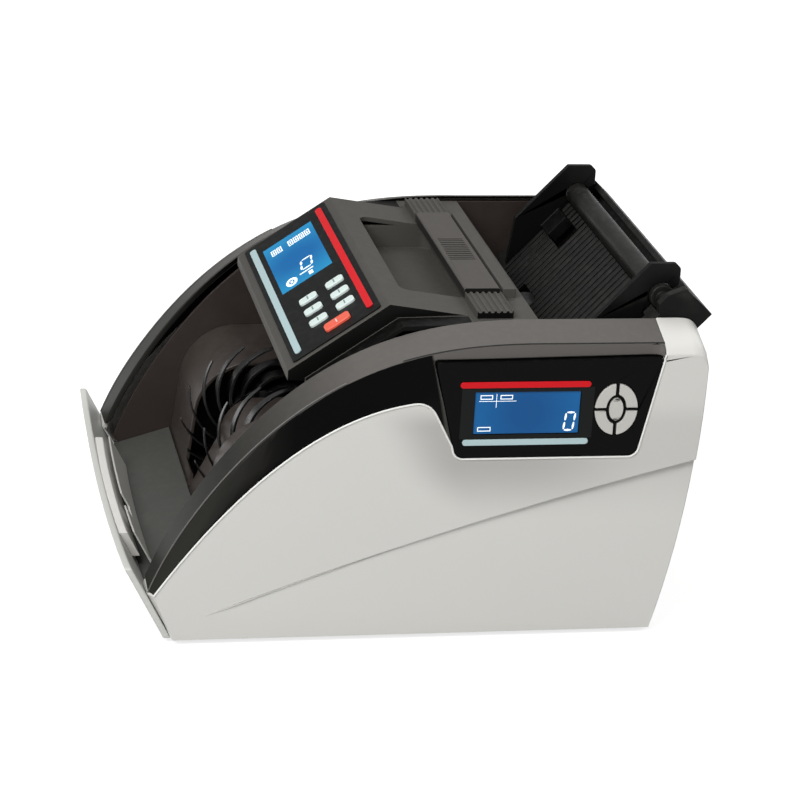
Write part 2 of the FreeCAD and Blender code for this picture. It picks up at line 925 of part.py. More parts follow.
def guide_section(cy, cz, radius, depth):
    """Solid under the stacker guide's outer or inner face."""
    x0 = -inside_x
    foot_z = floor_back_z - 2 * floor_wall
    lean = floor_back_y + fit_gap + depth
    tail = guide_tail_y + (past if depth else 0)
    below = foot_z - (past if depth else 0)
    foot = Vector(x0, lean, below)
    front = Vector(x0, cy - radius, cz)
    shoulder = Vector(x0, cy - radius * math.sqrt(0.5), cz + radius * math.sqrt(0.5))
    top = Vector(x0, cy, cz + radius)
    back = Vector(x0, tail, cz + radius)
    low = Vector(x0, tail, below)
    edges = [
        Part.makeLine(foot, front),
        Part.Arc(front, shoulder, top).toShape(),
        Part.makeLine(top, back),
        Part.makeLine(back, low),
        Part.makeLine(low, foot),
    ]
    return Part.Face(Part.Wire(edges)).extrude(Vector(2 * inside_x, 0, 0))


def fin_face(start):
    """Side view of one swept impeller fin that leaves the hub at an angle."""
    inner = impeller_hub_radius - fin_root
    steps = 5
    left = []
    right = []
    for i in range(steps):
        share = i / (steps - 1)
        radius = inner + share * (impeller_radius - inner)
        angle = math.radians(start - fin_sweep * share)
        half = (fin_root + share * (fin_tip - fin_root)) / 2
        slant = math.atan2(radius * math.radians(fin_sweep), impeller_radius - inner)
        turn = angle - slant + math.pi / 2
        middle = (impeller_y + radius * math.cos(angle), impeller_z + radius * math.sin(angle))
        off = (half * math.cos(turn), half * math.sin(turn))
        left.append((middle[0] + off[0], middle[1] + off[1]))
        right.append((middle[0] - off[0], middle[1] - off[1]))
    tip_left = Vector(0, left[-1][0], left[-1][1])
    tip_right = Vector(0, right[-1][0], right[-1][1])
    root_left = Vector(0, left[0][0], left[0][1])
    root_right = Vector(0, right[0][0], right[0][1])
    edges = [
        curve(left, 0),
        Part.makeLine(tip_left, tip_right),
        curve(right[::-1], 0),
        Part.makeLine(root_right, root_left),
    ]
    return Part.Face(Part.Wire(edges))


def fin_envelope():
    """Turned body that the wheel stays inside, narrower towards the fin tips."""
    half = impeller_width / 2
    tip = fin_tip_width / 2
    outer = impeller_radius + past
    profile = [
        (-half, 0),
        (half, 0),
        (half, impeller_hub_radius),
        (tip, outer),
        (-tip, outer),
        (-half, impeller_hub_radius),
    ]
    face = polygon_face([Vector(x, impeller_y + r, impeller_z) for x, r in profile])
    return face.revolve(Vector(0, impeller_y, impeller_z), Vector(1, 0, 0), 360)


def make_impeller():
    """Impeller shaft and its two finned wheels."""
    right_end = lane_one_x + belt_width + 2 * pulley_flange
    shaft = rod(impeller_y, impeller_z, shaft_radius, -frame_out_x - bush_length, right_end)
    pulley = pulley_shape(impeller_y, impeller_z, impeller_pulley_radius, lane_one_x)
    save("impeller_shaft", joined([shaft, pulley]))
    half = impeller_width / 2
    wheel = tube(impeller_y, impeller_z, impeller_hub_radius, shaft_radius + slip, -half, half)
    fins = []
    for i in range(fin_count):
        fin = fin_face(360.0 * i / fin_count).extrude(Vector(impeller_width, 0, 0))
        fin.translate(Vector(-half, 0, 0))
        fins.append(fin)
    wheel = wheel.fuse(fins).removeSplitter().common(fin_envelope())
    wheels = []
    for side in (-1, 1):
        copy = wheel.copy()
        copy.translate(Vector(side * impeller_x, 0, 0))
        wheels.append(copy)
    save("impeller_wheels", Part.makeCompound(wheels))


def pulley_shape(y, z, radius, lane_x):
    """Flanged belt pulley on the right-hand side, its groove starting at lane_x."""
    rim = radius + belt_gap + belt_thickness + pulley_lip
    groove = belt_width + 2 * fit_gap
    first = rod(y, z, rim, lane_x - pulley_flange, lane_x)
    drum = rod(y, z, radius, lane_x, lane_x + groove)
    second = rod(y, z, rim, lane_x + groove, lane_x + groove + pulley_flange)
    return joined([first, drum, second])


def hull_face(circles, grow):
    """Convex outline around circles of (y, z, radius), grown by a distance."""
    shapes = []
    centres = []
    count = len(circles)
    for y, z, radius in circles:
        shapes.append(rod(y, z, radius + grow, 0, belt_width))
        centres.append((y, z))
    for i in range(count):
        y0, z0, r0 = circles[i]
        y1, z1, r1 = circles[(i + 1) % count]
        span = math.hypot(y1 - y0, z1 - z0)
        along = math.atan2(z1 - z0, y1 - y0)
        lean = math.acos((r0 - r1) / span)
        ends = []
        for side in (1, -1):
            angle = along + side * lean
            ends.append((y0 + (r0 + grow) * math.cos(angle), z0 + (r0 + grow) * math.sin(angle)))
            ends.append((y1 + (r1 + grow) * math.cos(angle), z1 + (r1 + grow) * math.sin(angle)))
        shapes.append(prism([ends[0], ends[1], ends[3], ends[2]], 0, belt_width))
    if count > 2:
        shapes.append(prism(centres, 0, belt_width))
    return joined(shapes)


def belt(circles, x0):
    """Flat belt round its pulleys, at rest just clear of them."""
    loop = hull_face(circles, belt_gap + belt_thickness).cut(hull_face(circles, belt_gap))
    loop.translate(Vector(x0, 0, 0))
    return loop


def tyres(y, z, radius, core):
    """Two rubber tyres on a shaft."""
    one = tube(y, z, radius, core + slip, tyre_x - tyre_width / 2, tyre_x + tyre_width / 2)
    return both_sides(one)


def make_rollers():
    """Feed, kicker, transport, pinch and retard rollers with their shafts."""
    right_end = frame_out_x + bush_length
    one_end = lane_one_x + belt_width + 2 * fit_gap + pulley_flange
    two_end = lane_two_x + belt_width + 2 * fit_gap + pulley_flange
    ky, kz = kicker_place()
    feed = rod(feed_y, feed_z, shaft_radius, -two_end, right_end)
    core_end = tyre_x + tyre_width / 2
    feed_core = rod(feed_y, feed_z, feed_radius - core_wall, -core_end, core_end)
    first = mirrored(pulley_shape(feed_y, feed_z, feed_pulley_radius, lane_one_x))
    second = mirrored(pulley_shape(feed_y, feed_z, feed_second_radius, lane_two_x))
    save("feed_shaft", joined([feed, feed_core, first, second]))
    save("feed_tyres", tyres(feed_y, feed_z, feed_radius, feed_radius - core_wall))
    kicker = rod(ky, kz, shaft_radius, -one_end, right_end)
    kicker_pulley = mirrored(pulley_shape(ky, kz, kicker_pulley_radius, lane_one_x))
    save("kicker_shaft", joined([kicker, kicker_pulley]))
    save("kicker_tyres", tyres(ky, kz, kicker_radius, shaft_radius))
    transport = rod(transport_y, transport_z, shaft_radius, -two_end, right_end)
    third = mirrored(pulley_shape(transport_y, transport_z, transport_pulley_radius, lane_two_x))
    save("transport_shaft", joined([transport, third]))
    save("transport_tyres", tyres(transport_y, transport_z, transport_radius, shaft_radius))
    py, pz = pinch_place()
    pinch = rod(py, pz, shaft_radius, -right_end, right_end)
    wheel = rod(py, pz, pinch_radius, tyre_x - tyre_width / 4, tyre_x + tyre_width / 4)
    save("pinch_rollers", joined([pinch, wheel, mirrored(wheel)]))
    ry, rz = retard_place()
    bar = rod(ry, rz, shaft_radius, -frame_out_x, frame_out_x)
    save("retard_shaft", bar)
    save("retard_tyres", tyres(ry, rz, retard_radius, shaft_radius))


def make_drive():
    """Motors, their pulleys and the belts."""
    body = rod(motor_y, motor_z, motor_radius, -frame_in_x, -frame_in_x + motor_length)
    bore = motor_shaft_radius + shaft_running_gap
    hole = rod(motor_y, motor_z, bore, -frame_in_x - past, -frame_in_x + motor_length / 2)
    save("main_motor", body.cut(hole))
    end = lane_one_x + belt_width + 2 * fit_gap + pulley_flange
    depth = motor_length / 2 - past
    spindle = rod(motor_y, motor_z, motor_shaft_radius, -end, -frame_in_x + depth)
    wheel = mirrored(pulley_shape(motor_y, motor_z, motor_pulley_radius, lane_one_x))
    save("main_motor_pulley", joined([spindle, wheel]))
    far = frame_in_x - stacker_motor_length
    second = rod(stacker_motor_y, stacker_motor_z, stacker_motor_radius, far, frame_in_x)
    middle = frame_in_x - stacker_motor_length / 2
    second = second.cut(rod(stacker_motor_y, stacker_motor_z, bore, middle, frame_in_x + 1))
    save("stacker_motor", second)
    spindle = rod(stacker_motor_y, stacker_motor_z, motor_shaft_radius, middle + past, end)
    wheel = pulley_shape(stacker_motor_y, stacker_motor_z, motor_pulley_radius, lane_one_x)
    save("stacker_motor_pulley", joined([spindle, wheel]))
    ky, kz = kicker_place()
    main = [
        (motor_y, motor_z, motor_pulley_radius),
        (ky, kz, kicker_pulley_radius),
        (feed_y, feed_z, feed_pulley_radius),
    ]
    link = [(feed_y, feed_z, feed_second_radius), (transport_y, transport_z, transport_pulley_radius)]
    stack = [
        (impeller_y, impeller_z, impeller_pulley_radius),
        (stacker_motor_y, stacker_motor_z, motor_pulley_radius),
    ]
    belts = [
        belt(main, -lane_one_x - fit_gap - belt_width),
        belt(link, -lane_two_x - fit_gap - belt_width),
        belt(stack, lane_one_x + fit_gap),
    ]
    save("drive_belts", Part.makeCompound(belts))


def head_point(up, out):
    """Side-plane point at a distance up the control face and out of it."""
    tilt = math.radians(head_tilt)
    y = head_lip_y + up * math.cos(tilt) - out * math.sin(tilt)
    z = head_lip_z + up * math.sin(tilt) + out * math.cos(tilt)
    return (y, z)


def apex_up():
    """Length of the control face from its lip to the apex."""
    return (head_apex_y - head_lip_y) / math.cos(math.radians(head_tilt))


def key_places():
    """Front keys as (x, up) centres, front row first."""
    places = []
    for row in range(key_rows):
        for column in range(key_columns):
            places.append((key_first_x + column * key_pitch_x, key_first_up + row * key_pitch_up))
    return places


def key_stem():
    """Length of a front key below the face sheet, down to the back of its flange."""
    return overlay_thickness + head_wall + fit_gap + key_flange_height


def key_shape(width, height):
    """Rubber key with a flange under the control face."""
    cap = rounded_plate(width, height, key_stem() + key_proud, key_round)
    top = [e for e in cap.Edges if e.BoundBox.ZMin > key_stem()]
    cap = cap.makeFillet(key_proud / 2, top)
    grow = 2 * key_flange
    flange = rounded_plate(width + grow, height + grow, key_flange_height, key_round)
    return moved(joined([cap, flange]), 0, 0, overlay_thickness - key_stem())


def key_hole(width, height):
    """Clearance hole for a front key."""
    hole = rounded_plate(width + 2 * key_gap, height + 2 * key_gap, 4 * head_wall, key_round + key_gap)
    hole.translate(Vector(0, 0, -2 * head_wall))
    return hole


def moved(shape, x, y, z):
    """Copy of a shape at another place."""
    copy = shape.copy()
    copy.translate(Vector(x, y, z))
    return copy


def front_key_holes():
    """Holes of all front keys, in the flat drawing of the face."""
    holes = [moved(key_hole(key_width, key_height), x, up, 0) for x, up in key_places()]
    holes.append(moved(key_hole(red_key_width, red_key_height), red_key_x, red_key_up, 0))
    return holes


def post_front_y():
    """Front of the bridge posts, behind the finger pocket's rear wall."""
    return pocket_back_y + head_wall + 2 * fit_gap


def post_back_y():
    """Back of the bridge posts."""
    return bridge_back_y - 2 * fit_gap


def post_middle_x():
    """Distance of the bridge posts from the middle."""
    return bridge_half_width - bridge_post_inset - bridge_post / 2


def post_box(grow, low_z, high_z):
    """Right-hand bridge post, grown sideways by a distance."""
    x = post_middle_x()
    half = bridge_post / 2 + grow
    return box(x - half, x + half, post_front_y() - grow, post_back_y() + grow, low_z, high_z)


def ribbed_cap():
    """Moulded grip ribs beside the right-hand end of the bridge."""
    x0 = bridge_half_width + cap_gap
    top_z = deck_z + cap_thickness
    cap = box(x0, cap_end_x, bridge_front_y, bridge_back_y, deck_z - head_wall, top_z)
    pitch = (bridge_back_y - bridge_front_y) / cap_rib_count
    for i in range(cap_rib_count):
        y = bridge_front_y + (i + 0.5) * pitch
        low_z = top_z - cap_rib_depth
        cap = cap.cut(box(x0 - past, cap_end_x + past, y - pitch / 4, y + pitch / 4, low_z, top_z + past))
    return cap


def head_shell():
    """Wedge of the control head, hollow and open below."""
    apex = head_point(apex_up(), 0)
    low_z = head_lip_z - head_lip_drop
    side_z = head_lip_z - head_side_drop
    t = head_wall
    below = side_z - t
    face_in = head_point(2 * t, -t)
    outer = [
        (head_lip_y, low_z),
        (head_lip_y, head_lip_z),
        apex,
        (deck_front_y, deck_z),
        (deck_back_y, deck_z),
        (deck_back_y, side_z),
    ]
    inner = [
        (face_in[0], below),
        face_in,
        head_point(apex_up() - t / 2, -t),
        (deck_front_y, deck_z - t),
        (deck_back_y - t, deck_z - t),
        (deck_back_y - t, below),
    ]
    shell = prism(outer, -head_half_width, head_half_width)
    return shell.cut(prism(inner, -head_half_width + t, head_half_width - t))


def shoulder_sheet():
    """Lower sheet between the control head and the right-hand frame."""
    t = head_wall
    front = head_point(2 * t, -shoulder_drop)
    crest = head_point(apex_up(), -shoulder_drop)
    outline = [
        front,
        crest,
        (deck_front_y + t, deck_z),
        (deck_front_y + t, deck_z - t),
        (crest[0], crest[1] - t),
        (front[0], front[1] - t),
    ]
    return prism(outline, head_half_width - t, inside_x)


def display_board_out():
    """Outer face of the board under the control face, clear of the pressed keys."""
    return overlay_thickness - key_stem() - key_travel - fit_gap


def board_bosses():
    """Posts under the control face that carry its board, drawn flat."""
    low = display_board_out()
    x = overlay_half_width - 2 * board_margin
    lower = overlay_low + 2 * board_margin
    upper = overlay_low + overlay_height - 2 * board_margin
    places = [(sx * x, up) for sx in (-1, 1) for up in (lower, upper)]
    return [Part.makeCylinder(boss_radius, -low - head_wall / 2, Vector(px, up, low)) for px, up in places]


def make_head():
    """Control housing with its deck, finger pocket, ledge, grip ribs and hopper front wall."""
    t = head_wall
    deck = box(-inside_x, inside_x, deck_front_y, deck_back_y, deck_z - t, deck_z)
    wall_outline = [
        (deck_back_y - t, deck_z),
        (deck_back_y, deck_z),
        (hopper_wall_foot_y, hopper_wall_foot_z),
        (hopper_wall_foot_y - t, hopper_wall_foot_z),
    ]
    front = pocket_front_y
    back = pocket_back_y
    half = pocket_half_width
    tub = box(-half - t, half + t, front - t, back + t, pocket_floor_z - t, deck_z - t / 2)
    ledge_y = bridge_back_y + 4 * fit_gap
    ledge_end = ledge_y + ledge_depth
    ledge = box(-ledge_half_width, ledge_half_width, ledge_y, ledge_end, deck_z, deck_z + ledge_height)
    shoulder = shoulder_sheet()
    pieces = [head_shell(), deck, prism(wall_outline, -inside_x, inside_x), tub, ledge]
    pieces += [shoulder, mirrored(shoulder), ribbed_cap(), mirrored(ribbed_cap())]
    pieces += [on_head(boss) for boss in board_bosses()]
    head = joined(pieces)
    pocket = box(-half, half, front, back, pocket_floor_z, deck_z + 2 * shoulder_drop)
    upright = [e for e in pocket.Edges if e.BoundBox.ZLength > shoulder_drop]
    head = head.cut(pocket.makeFillet(pocket_round, upright))
    hole = post_box(fit_gap, deck_z - 2 * t, deck_z + t)
    head = head.cut([hole, mirrored(hole)])
    head = head.cut([on_head(key) for key in front_key_holes()])
    seat = overlay_thickness - lcd_thickness
    window = Part.makeBox(lcd_width, lcd_height, 2 * t, Vector(lcd_left_x, lcd_low, seat))
    save("control_housing", head.cut(on_head(window)).removeSplitter())


def make_overlay():
    """Face sheet of the control panel and its display; gives back its two colour strips."""
    sheet = rounded_plate(2 * overlay_half_width, overlay_height, overlay_thickness, key_round)
    sheet = moved(sheet, 0, overlay_low + overlay_height / 2, 0).cut(front_key_holes())
    seat = overlay_thickness - lcd_thickness
    lcd = Part.makeBox(lcd_width, lcd_height, lcd_thickness, Vector(lcd_left_x, lcd_low, seat))
    save("control_overlay", on_head(sheet.cut(lcd)))
    save("front_lcd", on_head(lcd))
    strip = rounded_plate(2 * strip_half_width, strip_width, strip_thickness, strip_width / 2)
    red = on_head(moved(strip, 0, strip_high, overlay_thickness))
    pale = on_head(moved(strip, 0, strip_low, overlay_thickness))
    return red, pale


def make_front_keys():
    """Six pale keys and the larger red one, each its own piece."""
    key = key_shape(key_width, key_height)
    for number, (x, up) in enumerate(key_places(), 1):
        save("front_key_%d" % number, on_head(moved(key, x, up, 0)))
    red = key_shape(red_key_width, red_key_height)
    save("front_key_red", on_head(moved(red, red_key_x, red_key_up, 0)))


def make_bridge():
    """Lifting carry bridge over the finger pocket, its posts caught under the deck."""
    rest_z = deck_z + fit_gap
    top_z = rest_z + bridge_thickness
    bar = box(-bridge_half_width, bridge_half_width, bridge_front_y, bridge_back_y, rest_z, top_z)
    long_edges = [e for e in bar.Edges if e.BoundBox.XLength > bridge_half_width]
    upper = [e for e in long_edges if e.BoundBox.ZMin > rest_z]
    bar = bar.makeFillet(bridge_thickness / 4, upper)
    y0 = bridge_front_y + bridge_groove_margin
    y1 = bridge_back_y - bridge_groove_margin
    half = bridge_groove_width / 2
    grooves = []
    for i in range(bridge_groove_count):
        x = (i - (bridge_groove_count - 1) / 2) * bridge_groove_pitch
        grooves.append(box(x - half, x + half, y0, y1, top_z - bridge_groove_depth, top_z + past))
    stop_z = deck_z - head_wall - bridge_lift - fit_gap
    foot_z = stop_z - bridge_stop_height
    post = post_box(0, foot_z, rest_z)
    x = post_middle_x()
    reach = bridge_post / 2 + bridge_stop
    stop = box(x - reach, x + reach, post_front_y(), post_back_y(), foot_z, stop_z)
    leg = joined([post, stop])
    save("carry_bridge", joined([bar.cut(grooves), leg, mirrored(leg)]))


def rod_up():
    """Place of the hopper rod up the hopper face."""
    return hopper_length - rod_below_top


def tail_tip():
    """Upper end of the hopper's tail behind the rod."""
    return rod_up() + tail_past_rod


def hopper_sheet(up, out, length, depth):
    """Full-width slab of the hopper between places up the face and out of it."""
    return Part.makeBox(2 * inside_x, length, depth, Vector(-inside_x, up, out))


def flat_outline(points, thickness, x0):
    """Plate drawn by (up, out) points, standing across the hopper at x0."""
    face = polygon_face([Vector(x0, up, out) for up, out in points])
    return face.extrude(Vector(thickness, 0, 0))


def hopper_cuts(plate_top):
    """Grooves, guide slots and roller mouths of the hopper tray, drawn flat."""
    deep = 4 * hopper_plate
    cuts = []
    for i in range(rib_count):
        x = (i - (rib_count - 1) / 2) * rib_pitch - rib_groove / 2
        start = Vector(x, -past, -rib_depth)
        cuts.append(Part.makeBox(rib_groove, plate_top + 2 * past, 2 * rib_depth, start))
    slot_corner = Vector(slot_inner_x, slot_low, -deep / 2)
    slot = Part.makeBox(rod_shoulder_x - slot_inner_x, slot_high - slot_low, deep, slot_corner)
    sunk = kicker_radius - kicker_proud - hopper_plate
    chord = math.sqrt(kicker_radius ** 2 - sunk ** 2) + slot_margin
    wide = tyre_width + 2 * slot_margin
    corner = Vector(tyre_x - wide / 2, kicker_up_slope - chord, -deep / 2)
    mouth = Part.makeBox(wide, 2 * chord, deep, corner)
    return cuts + [slot, mirrored(slot), mouth, mirrored(mouth)]


def make_hopper():
    """Ribbed hopper tray with its cheeks and tail, and the rod along its top."""
    plate_top = rod_up() - rod_radius - fit_gap
    tip = tail_tip()
    tail_top = rod_radius + hopper_plate
    cheek_outline = [
        (cheek_start, 0),
        (plate_top, 0),
        (rod_up() - rod_neck_radius, cheek_rise),
        (rod_up() + rod_neck_radius, cheek_rise),
        (tip, 0),
        (tip, -tail_depth),
        (tip - tail_length, -tail_depth),
        (plate_top / 2, -cheek_depth),
        (cheek_start, -cheek_depth),
    ]
    cheek = flat_outline(cheek_outline, cheek_width, inside_x - cheek_width)
    plate = hopper_sheet(0, -hopper_plate, plate_top, hopper_plate)
    back = hopper_sheet(tip - hopper_plate, -tail_depth, hopper_plate, tail_depth - tail_top)
    under = hopper_sheet(tip - tail_length, -tail_depth, tail_length, hopper_plate)
    tray = joined([plate, cheek, mirrored(cheek), back, under]).cut(hopper_cuts(plate_top))
    ky, kz = kicker_place()
    half = tyre_width / 2 + slot_margin
    mouth = rod(feed_y, feed_z, feed_radius + slot_margin, tyre_x - half, tyre_x + half)
    clear = [rod(ky, kz, bush_radius() + past, -skin_x, skin_x), mouth, mirrored(mouth)]
    save("hopper_tray", on_hopper(tray).cut(clear))
    ry, rz = hopper_point(rod_up(), 0)
    grip = inside_x - cheek_width
    neck = rod(ry, rz, rod_neck_radius, -grip, grip)
    bar = rod(ry, rz, rod_radius, -rod_shoulder_x, rod_shoulder_x)
    save("hopper_rod", joined([bar, neck]))


def guide_shape():
    """Right-hand note guide: an upright plate on the hopper face with a level top, hooked over the rod."""
    end = rod_up()
    r = rod_radius
    tilt = math.radians(hopper_tilt)
    back = (math.cos(tilt), -math.sin(tilt))
    down = (-math.sin(tilt), -math.cos(tilt))
    level = [guide_corner + guide_top_length * back[0], guide_height + guide_top_length * back[1]]
    cut = [level[i] + guide_chamfer * (back[i] + down[i]) for i in range(2)]
    foot = [cut[i] + guide_rear_drop * down[i] for i in range(2)]
    outline = [
        (guide_start, guide_lift),
        (guide_shoulder, guide_height),
        (guide_corner, guide_height),
        level,
        cut,
        foot,
        (end, 0),
        (end - r, guide_lift),
    ]
    plate_x = guide_x - guide_plate / 2
    plate = flat_outline(outline, guide_plate, plate_x)
    height = slot_high - slot_low - 2 * fit_gap
    foot_corner = Vector(plate_x - guide_foot, slot_low + fit_gap, -guide_foot_depth)
    foot = Part.makeBox(guide_foot + guide_plate, height, guide_foot_depth + guide_foot_proud, foot_corner)
    ry, rz = hopper_point(end, 0)
    return on_hopper(joined([plate, foot])).cut(rod(ry, rz, r + fit_gap, 0, skin_x))


def make_guides():
    """The two sliding note guides."""
    right = guide_shape()
    save("note_guide_right", right)
    save("note_guide_left", mirrored(right))


def ellipse_prism(half_y, half_z, x0, x1):
    """Upright elliptic bar along X at the middle of the side keys."""
    middle = Vector(x0, ring_y, ring_z)
    line = Part.Ellipse(middle + Vector(0, 0, half_z), middle + Vector(0, half_y, 0), middle)
    return Part.Face(Part.Wire([line.toShape()])).extrude(Vector(x1 - x0, 0, 0))


def side_keys(grow, x0, x1):
    """Five side keys by name, grown by a clearance."""
    ring = ellipse_prism(ring_half_y + grow, ring_half_z + grow, x0, x1)
    ring = ring.cut(ellipse_prism(ring_inner_y - grow, ring_inner_z - grow, x0, x1))
    far = 2 * ring_half_z
    half = ring_split / 2 - grow
    corner = box(x0, x1, ring_y + half, ring_y + far, ring_z + half, ring_z + far)
    keys = {}
    for number in range(4):
        turned = corner.copy()
        turned.rotate(Vector(0, ring_y, ring_z), Vector(1, 0, 0), 90 * number)
        keys["side_key_%d" % (number + 1)] = ring.common(turned)
    keys["side_key_centre"] = ellipse_prism(hub_half_y + grow, hub_half_z + grow, x0, x1)
    return keys


def side_strip(y, z, width, x0):
    """Colour strip with rounded ends on the side display."""
    half = side_strip_height / 2
    outline = [
        (y - width / 2, z - half),
        (y + width / 2, z - half),
        (y + width / 2, z + half),
        (y - width / 2, z + half),
    ]
    return rounded_prism(outline, x0, skin_x, side_strip_round, side_strip_round)


def make_side_display():
    """Side display module with its keys; gives back its two colour strips."""
    face_x = skin_x - bezel_sink
    back_x = skin_x - bezel_depth
    bezel = rounded_prism(bezel_outline(0), back_x, face_x, bezel_round, bezel_top_round)
    y0 = side_lcd_y - side_lcd_width / 2
    z0 = side_lcd_z - side_lcd_height / 2
    lcd_x = face_x - side_lcd_sink
    seat_x = lcd_x - side_lcd_thickness
    lcd = box(seat_x, lcd_x, y0, y0 + side_lcd_width, z0, z0 + side_lcd_height)
    window = box(seat_x, face_x + past, y0, y0 + side_lcd_width, z0, z0 + side_lcd_height)
    holes = side_keys(key_gap, back_x - past, face_x + past)
    save("side_display_bezel", bezel.cut([window] + list(holes.values())))
    save("side_lcd", lcd)
    keys = side_keys(0, skin_x - side_key_depth, skin_x)
    for name in keys:
        save(name, keys[name])
    red = side_strip(side_strip_y, side_red_z, side_strip_width, face_x)
    pale = side_strip(side_pale_y, side_pale_z, side_pale_width, face_x)
    return red, pale


def inside_back(shift):
    """Solid in front of the bowed rear face, drawn forward by shift."""
    x0 = -frame_out_x
    top = Vector(x0, back_y - shift, back_top_z)
    foot = Vector(x0, heel_y - shift, foot_height)
    low = Vector(x0, 0, foot_height)
    high = Vector(x0, 0, back_top_z)
    edges = [
        back_arc(x0, shift, foot_height, back_top_z),
        Part.makeLine(foot, low),
        Part.makeLine(low, high),
        Part.makeLine(high, top),
    ]
    return Part.Face(Part.Wire(edges)).extrude(Vector(2 * frame_out_x, 0, 0))


def inlet_seat_y():
    """Flat seat of the power inlet, just inside the rear face at its lower edge."""
    share = (inlet_z - inlet_height / 2 - foot_height) / (back_top_z - foot_height)
    return heel_y + share * (back_y - heel_y) - 2 * wall


def around_inlet(grow, y0, y1):
    """Block round the power inlet, grown sideways by a distance."""
    half_x = inlet_width / 2 + grow
    half_z = inlet_height / 2 + grow
    return box(inlet_x - half_x, inlet_x + half_x, y0, y1, inlet_z - half_z, inlet_z + half_z)


def make_rear():
    """Rear panel with its vents and the recess for the power inlet."""
    seat = inlet_seat_y()
    far = back_y + far_past
    recess = around_inlet(2 * wall, seat - wall, far).common(inside_back(0))
    upper = box(-inside_x, inside_x, back_y - wall, back_y, back_top_z - wall, back_top_z + rear_rise)
    panel = joined([inside_back(0).cut(inside_back(wall)), recess, upper])
    cuts = [around_inlet(fit_gap, seat, far), around_inlet(fit_gap - inlet_rim, 0, far)]
    for i in range(vent_count):
        x = (i - (vent_count - 1) / 2) * vent_pitch
        half = vent_width / 2
        cuts.append(box(x - half, x + half, 0, far, vent_z - vent_height / 2, vent_z + vent_height / 2))
    save("rear_panel", panel.cut(cuts))


def make_inlet():
    """Power inlet with its socket, and the rocker beside it."""
    seat = inlet_seat_y()
    face = seat + inlet_rim
    body = joined([around_inlet(-inlet_rim, seat - inlet_depth, seat), around_inlet(0, seat, face)])
    socket_x = inlet_x + inlet_width / 2 - inlet_inset - socket_width / 2
    half = socket_width / 2
    half_z = socket_height / 2
    floor_y = face - socket_depth
    x0 = socket_x - half
    body = body.cut(box(x0, x0 + socket_width, floor_y, face, inlet_z - half_z, inlet_z + half_z))
    pieces = []
    for side in (-1, 0, 1):
        x = socket_x + side * prong_spread - prong_width / 2
        z = inlet_z if side == 0 else inlet_z - prong_height
        pieces.append(box(x, x + prong_width, floor_y - past, face - prong_recess, z, z + prong_height))
    rocker_x = inlet_x - inlet_width / 2 + inlet_inset + rocker_width / 2
    half = rocker_width / 2
    axis_y = face - rocker_depth / 2
    pin_end = half + rocker_pin_length
    well_x = half + fit_gap
    well_z = rocker_height / 2 + 4 * fit_gap
    well_floor = face - 1.5 * rocker_depth
    well = box(rocker_x - well_x, rocker_x + well_x, well_floor, face, inlet_z - well_z, inlet_z + well_z)
    bore_radius = rocker_pin_radius + shaft_running_gap
    bore_end = pin_end + slip
    bore = rod(axis_y, inlet_z, bore_radius, rocker_x - bore_end, rocker_x + bore_end)
    save("power_inlet", joined([body.cut([well, bore])] + pieces))
    rise = rocker_height / 2 * math.tan(math.radians(rocker_travel / 2))
    outline = [
        (face - rocker_depth, inlet_z - rocker_height / 3),
        (face + rise, inlet_z - rocker_height / 2),
        (face, inlet_z),
        (face + rise, inlet_z + rocker_height / 2),
        (face - rocker_depth, inlet_z + rocker_height / 3),
    ]
    rocker = prism(outline, rocker_x - half, rocker_x + half)
    pin = rod(axis_y, inlet_z, rocker_pin_radius, rocker_x - pin_end, rocker_x + pin_end)
    rocker = joined([rocker, pin])
    rocker.rotate(Vector(0, axis_y, inlet_z), Vector(1, 0, 0), rocker_travel / 2)
    save("power_rocker", rocker)


def make_boards():
    """Main board, the boards behind both displays, and the transformer."""
    z0 = base_top_z + standoff_height
    top = z0 + board_wall
    main_board = box(board_x0, board_x1, board_y0, board_y1, z0, top)
    out = display_board_out() - board_wall
    width = 2 * (overlay_half_width - board_margin)
    height = overlay_height - 2 * board_margin
    display = Part.makeBox(width, height, board_wall, Vector(-width / 2, overlay_low + board_margin, out))
    side_x = skin_x - bezel_depth
    y0 = bezel_front_y + bezel_front_lean + board_margin
    y1 = bezel_back_y - bezel_back_lean
    z1 = ring_z + ring_half_z + board_margin / 2
    side = box(side_x - board_wall, side_x, y0, y1, bezel_low_z + board_margin, z1)
    save("circuit_boards", Part.makeCompound([main_board, on_head(display), side]))
    x1 = board_x1 - board_margin
    y0 = board_y0 + board_margin
    core = box(x1 - transformer_size_x, x1, y0, y0 + transformer_size_y, top, top + transformer_size_z)
    save("transformer", core)


os.makedirs("parts", exist_ok=True)
make_base()
make_frames()
make_sides()
make_front()
make_stacker()
make_impeller()
make_rollers()
make_drive()
make_head()
front_red, front_pale = make_overlay()
make_front_keys()
make_bridge()
make_hopper()
make_guides()
side_red, side_pale = make_side_display()
save("red_strips", Part.makeCompound([front_red, side_red]))
save("pale_strips", Part.makeCompound([front_pale, side_pale]))
make_rear()
make_inlet()
make_boards()
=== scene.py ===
import json
import logging
import math
from collections import Counter
from contextlib import contextmanager
from dataclasses import dataclass, field, replace
from enum import Enum
from functools import partial, reduce
from typing import Callable, Iterator, Mapping, Sequence

import bpy
from bpy.types import Material, Node, NodeSocket as Socket, NodeTree, Object
from mathutils import Matrix, Vector

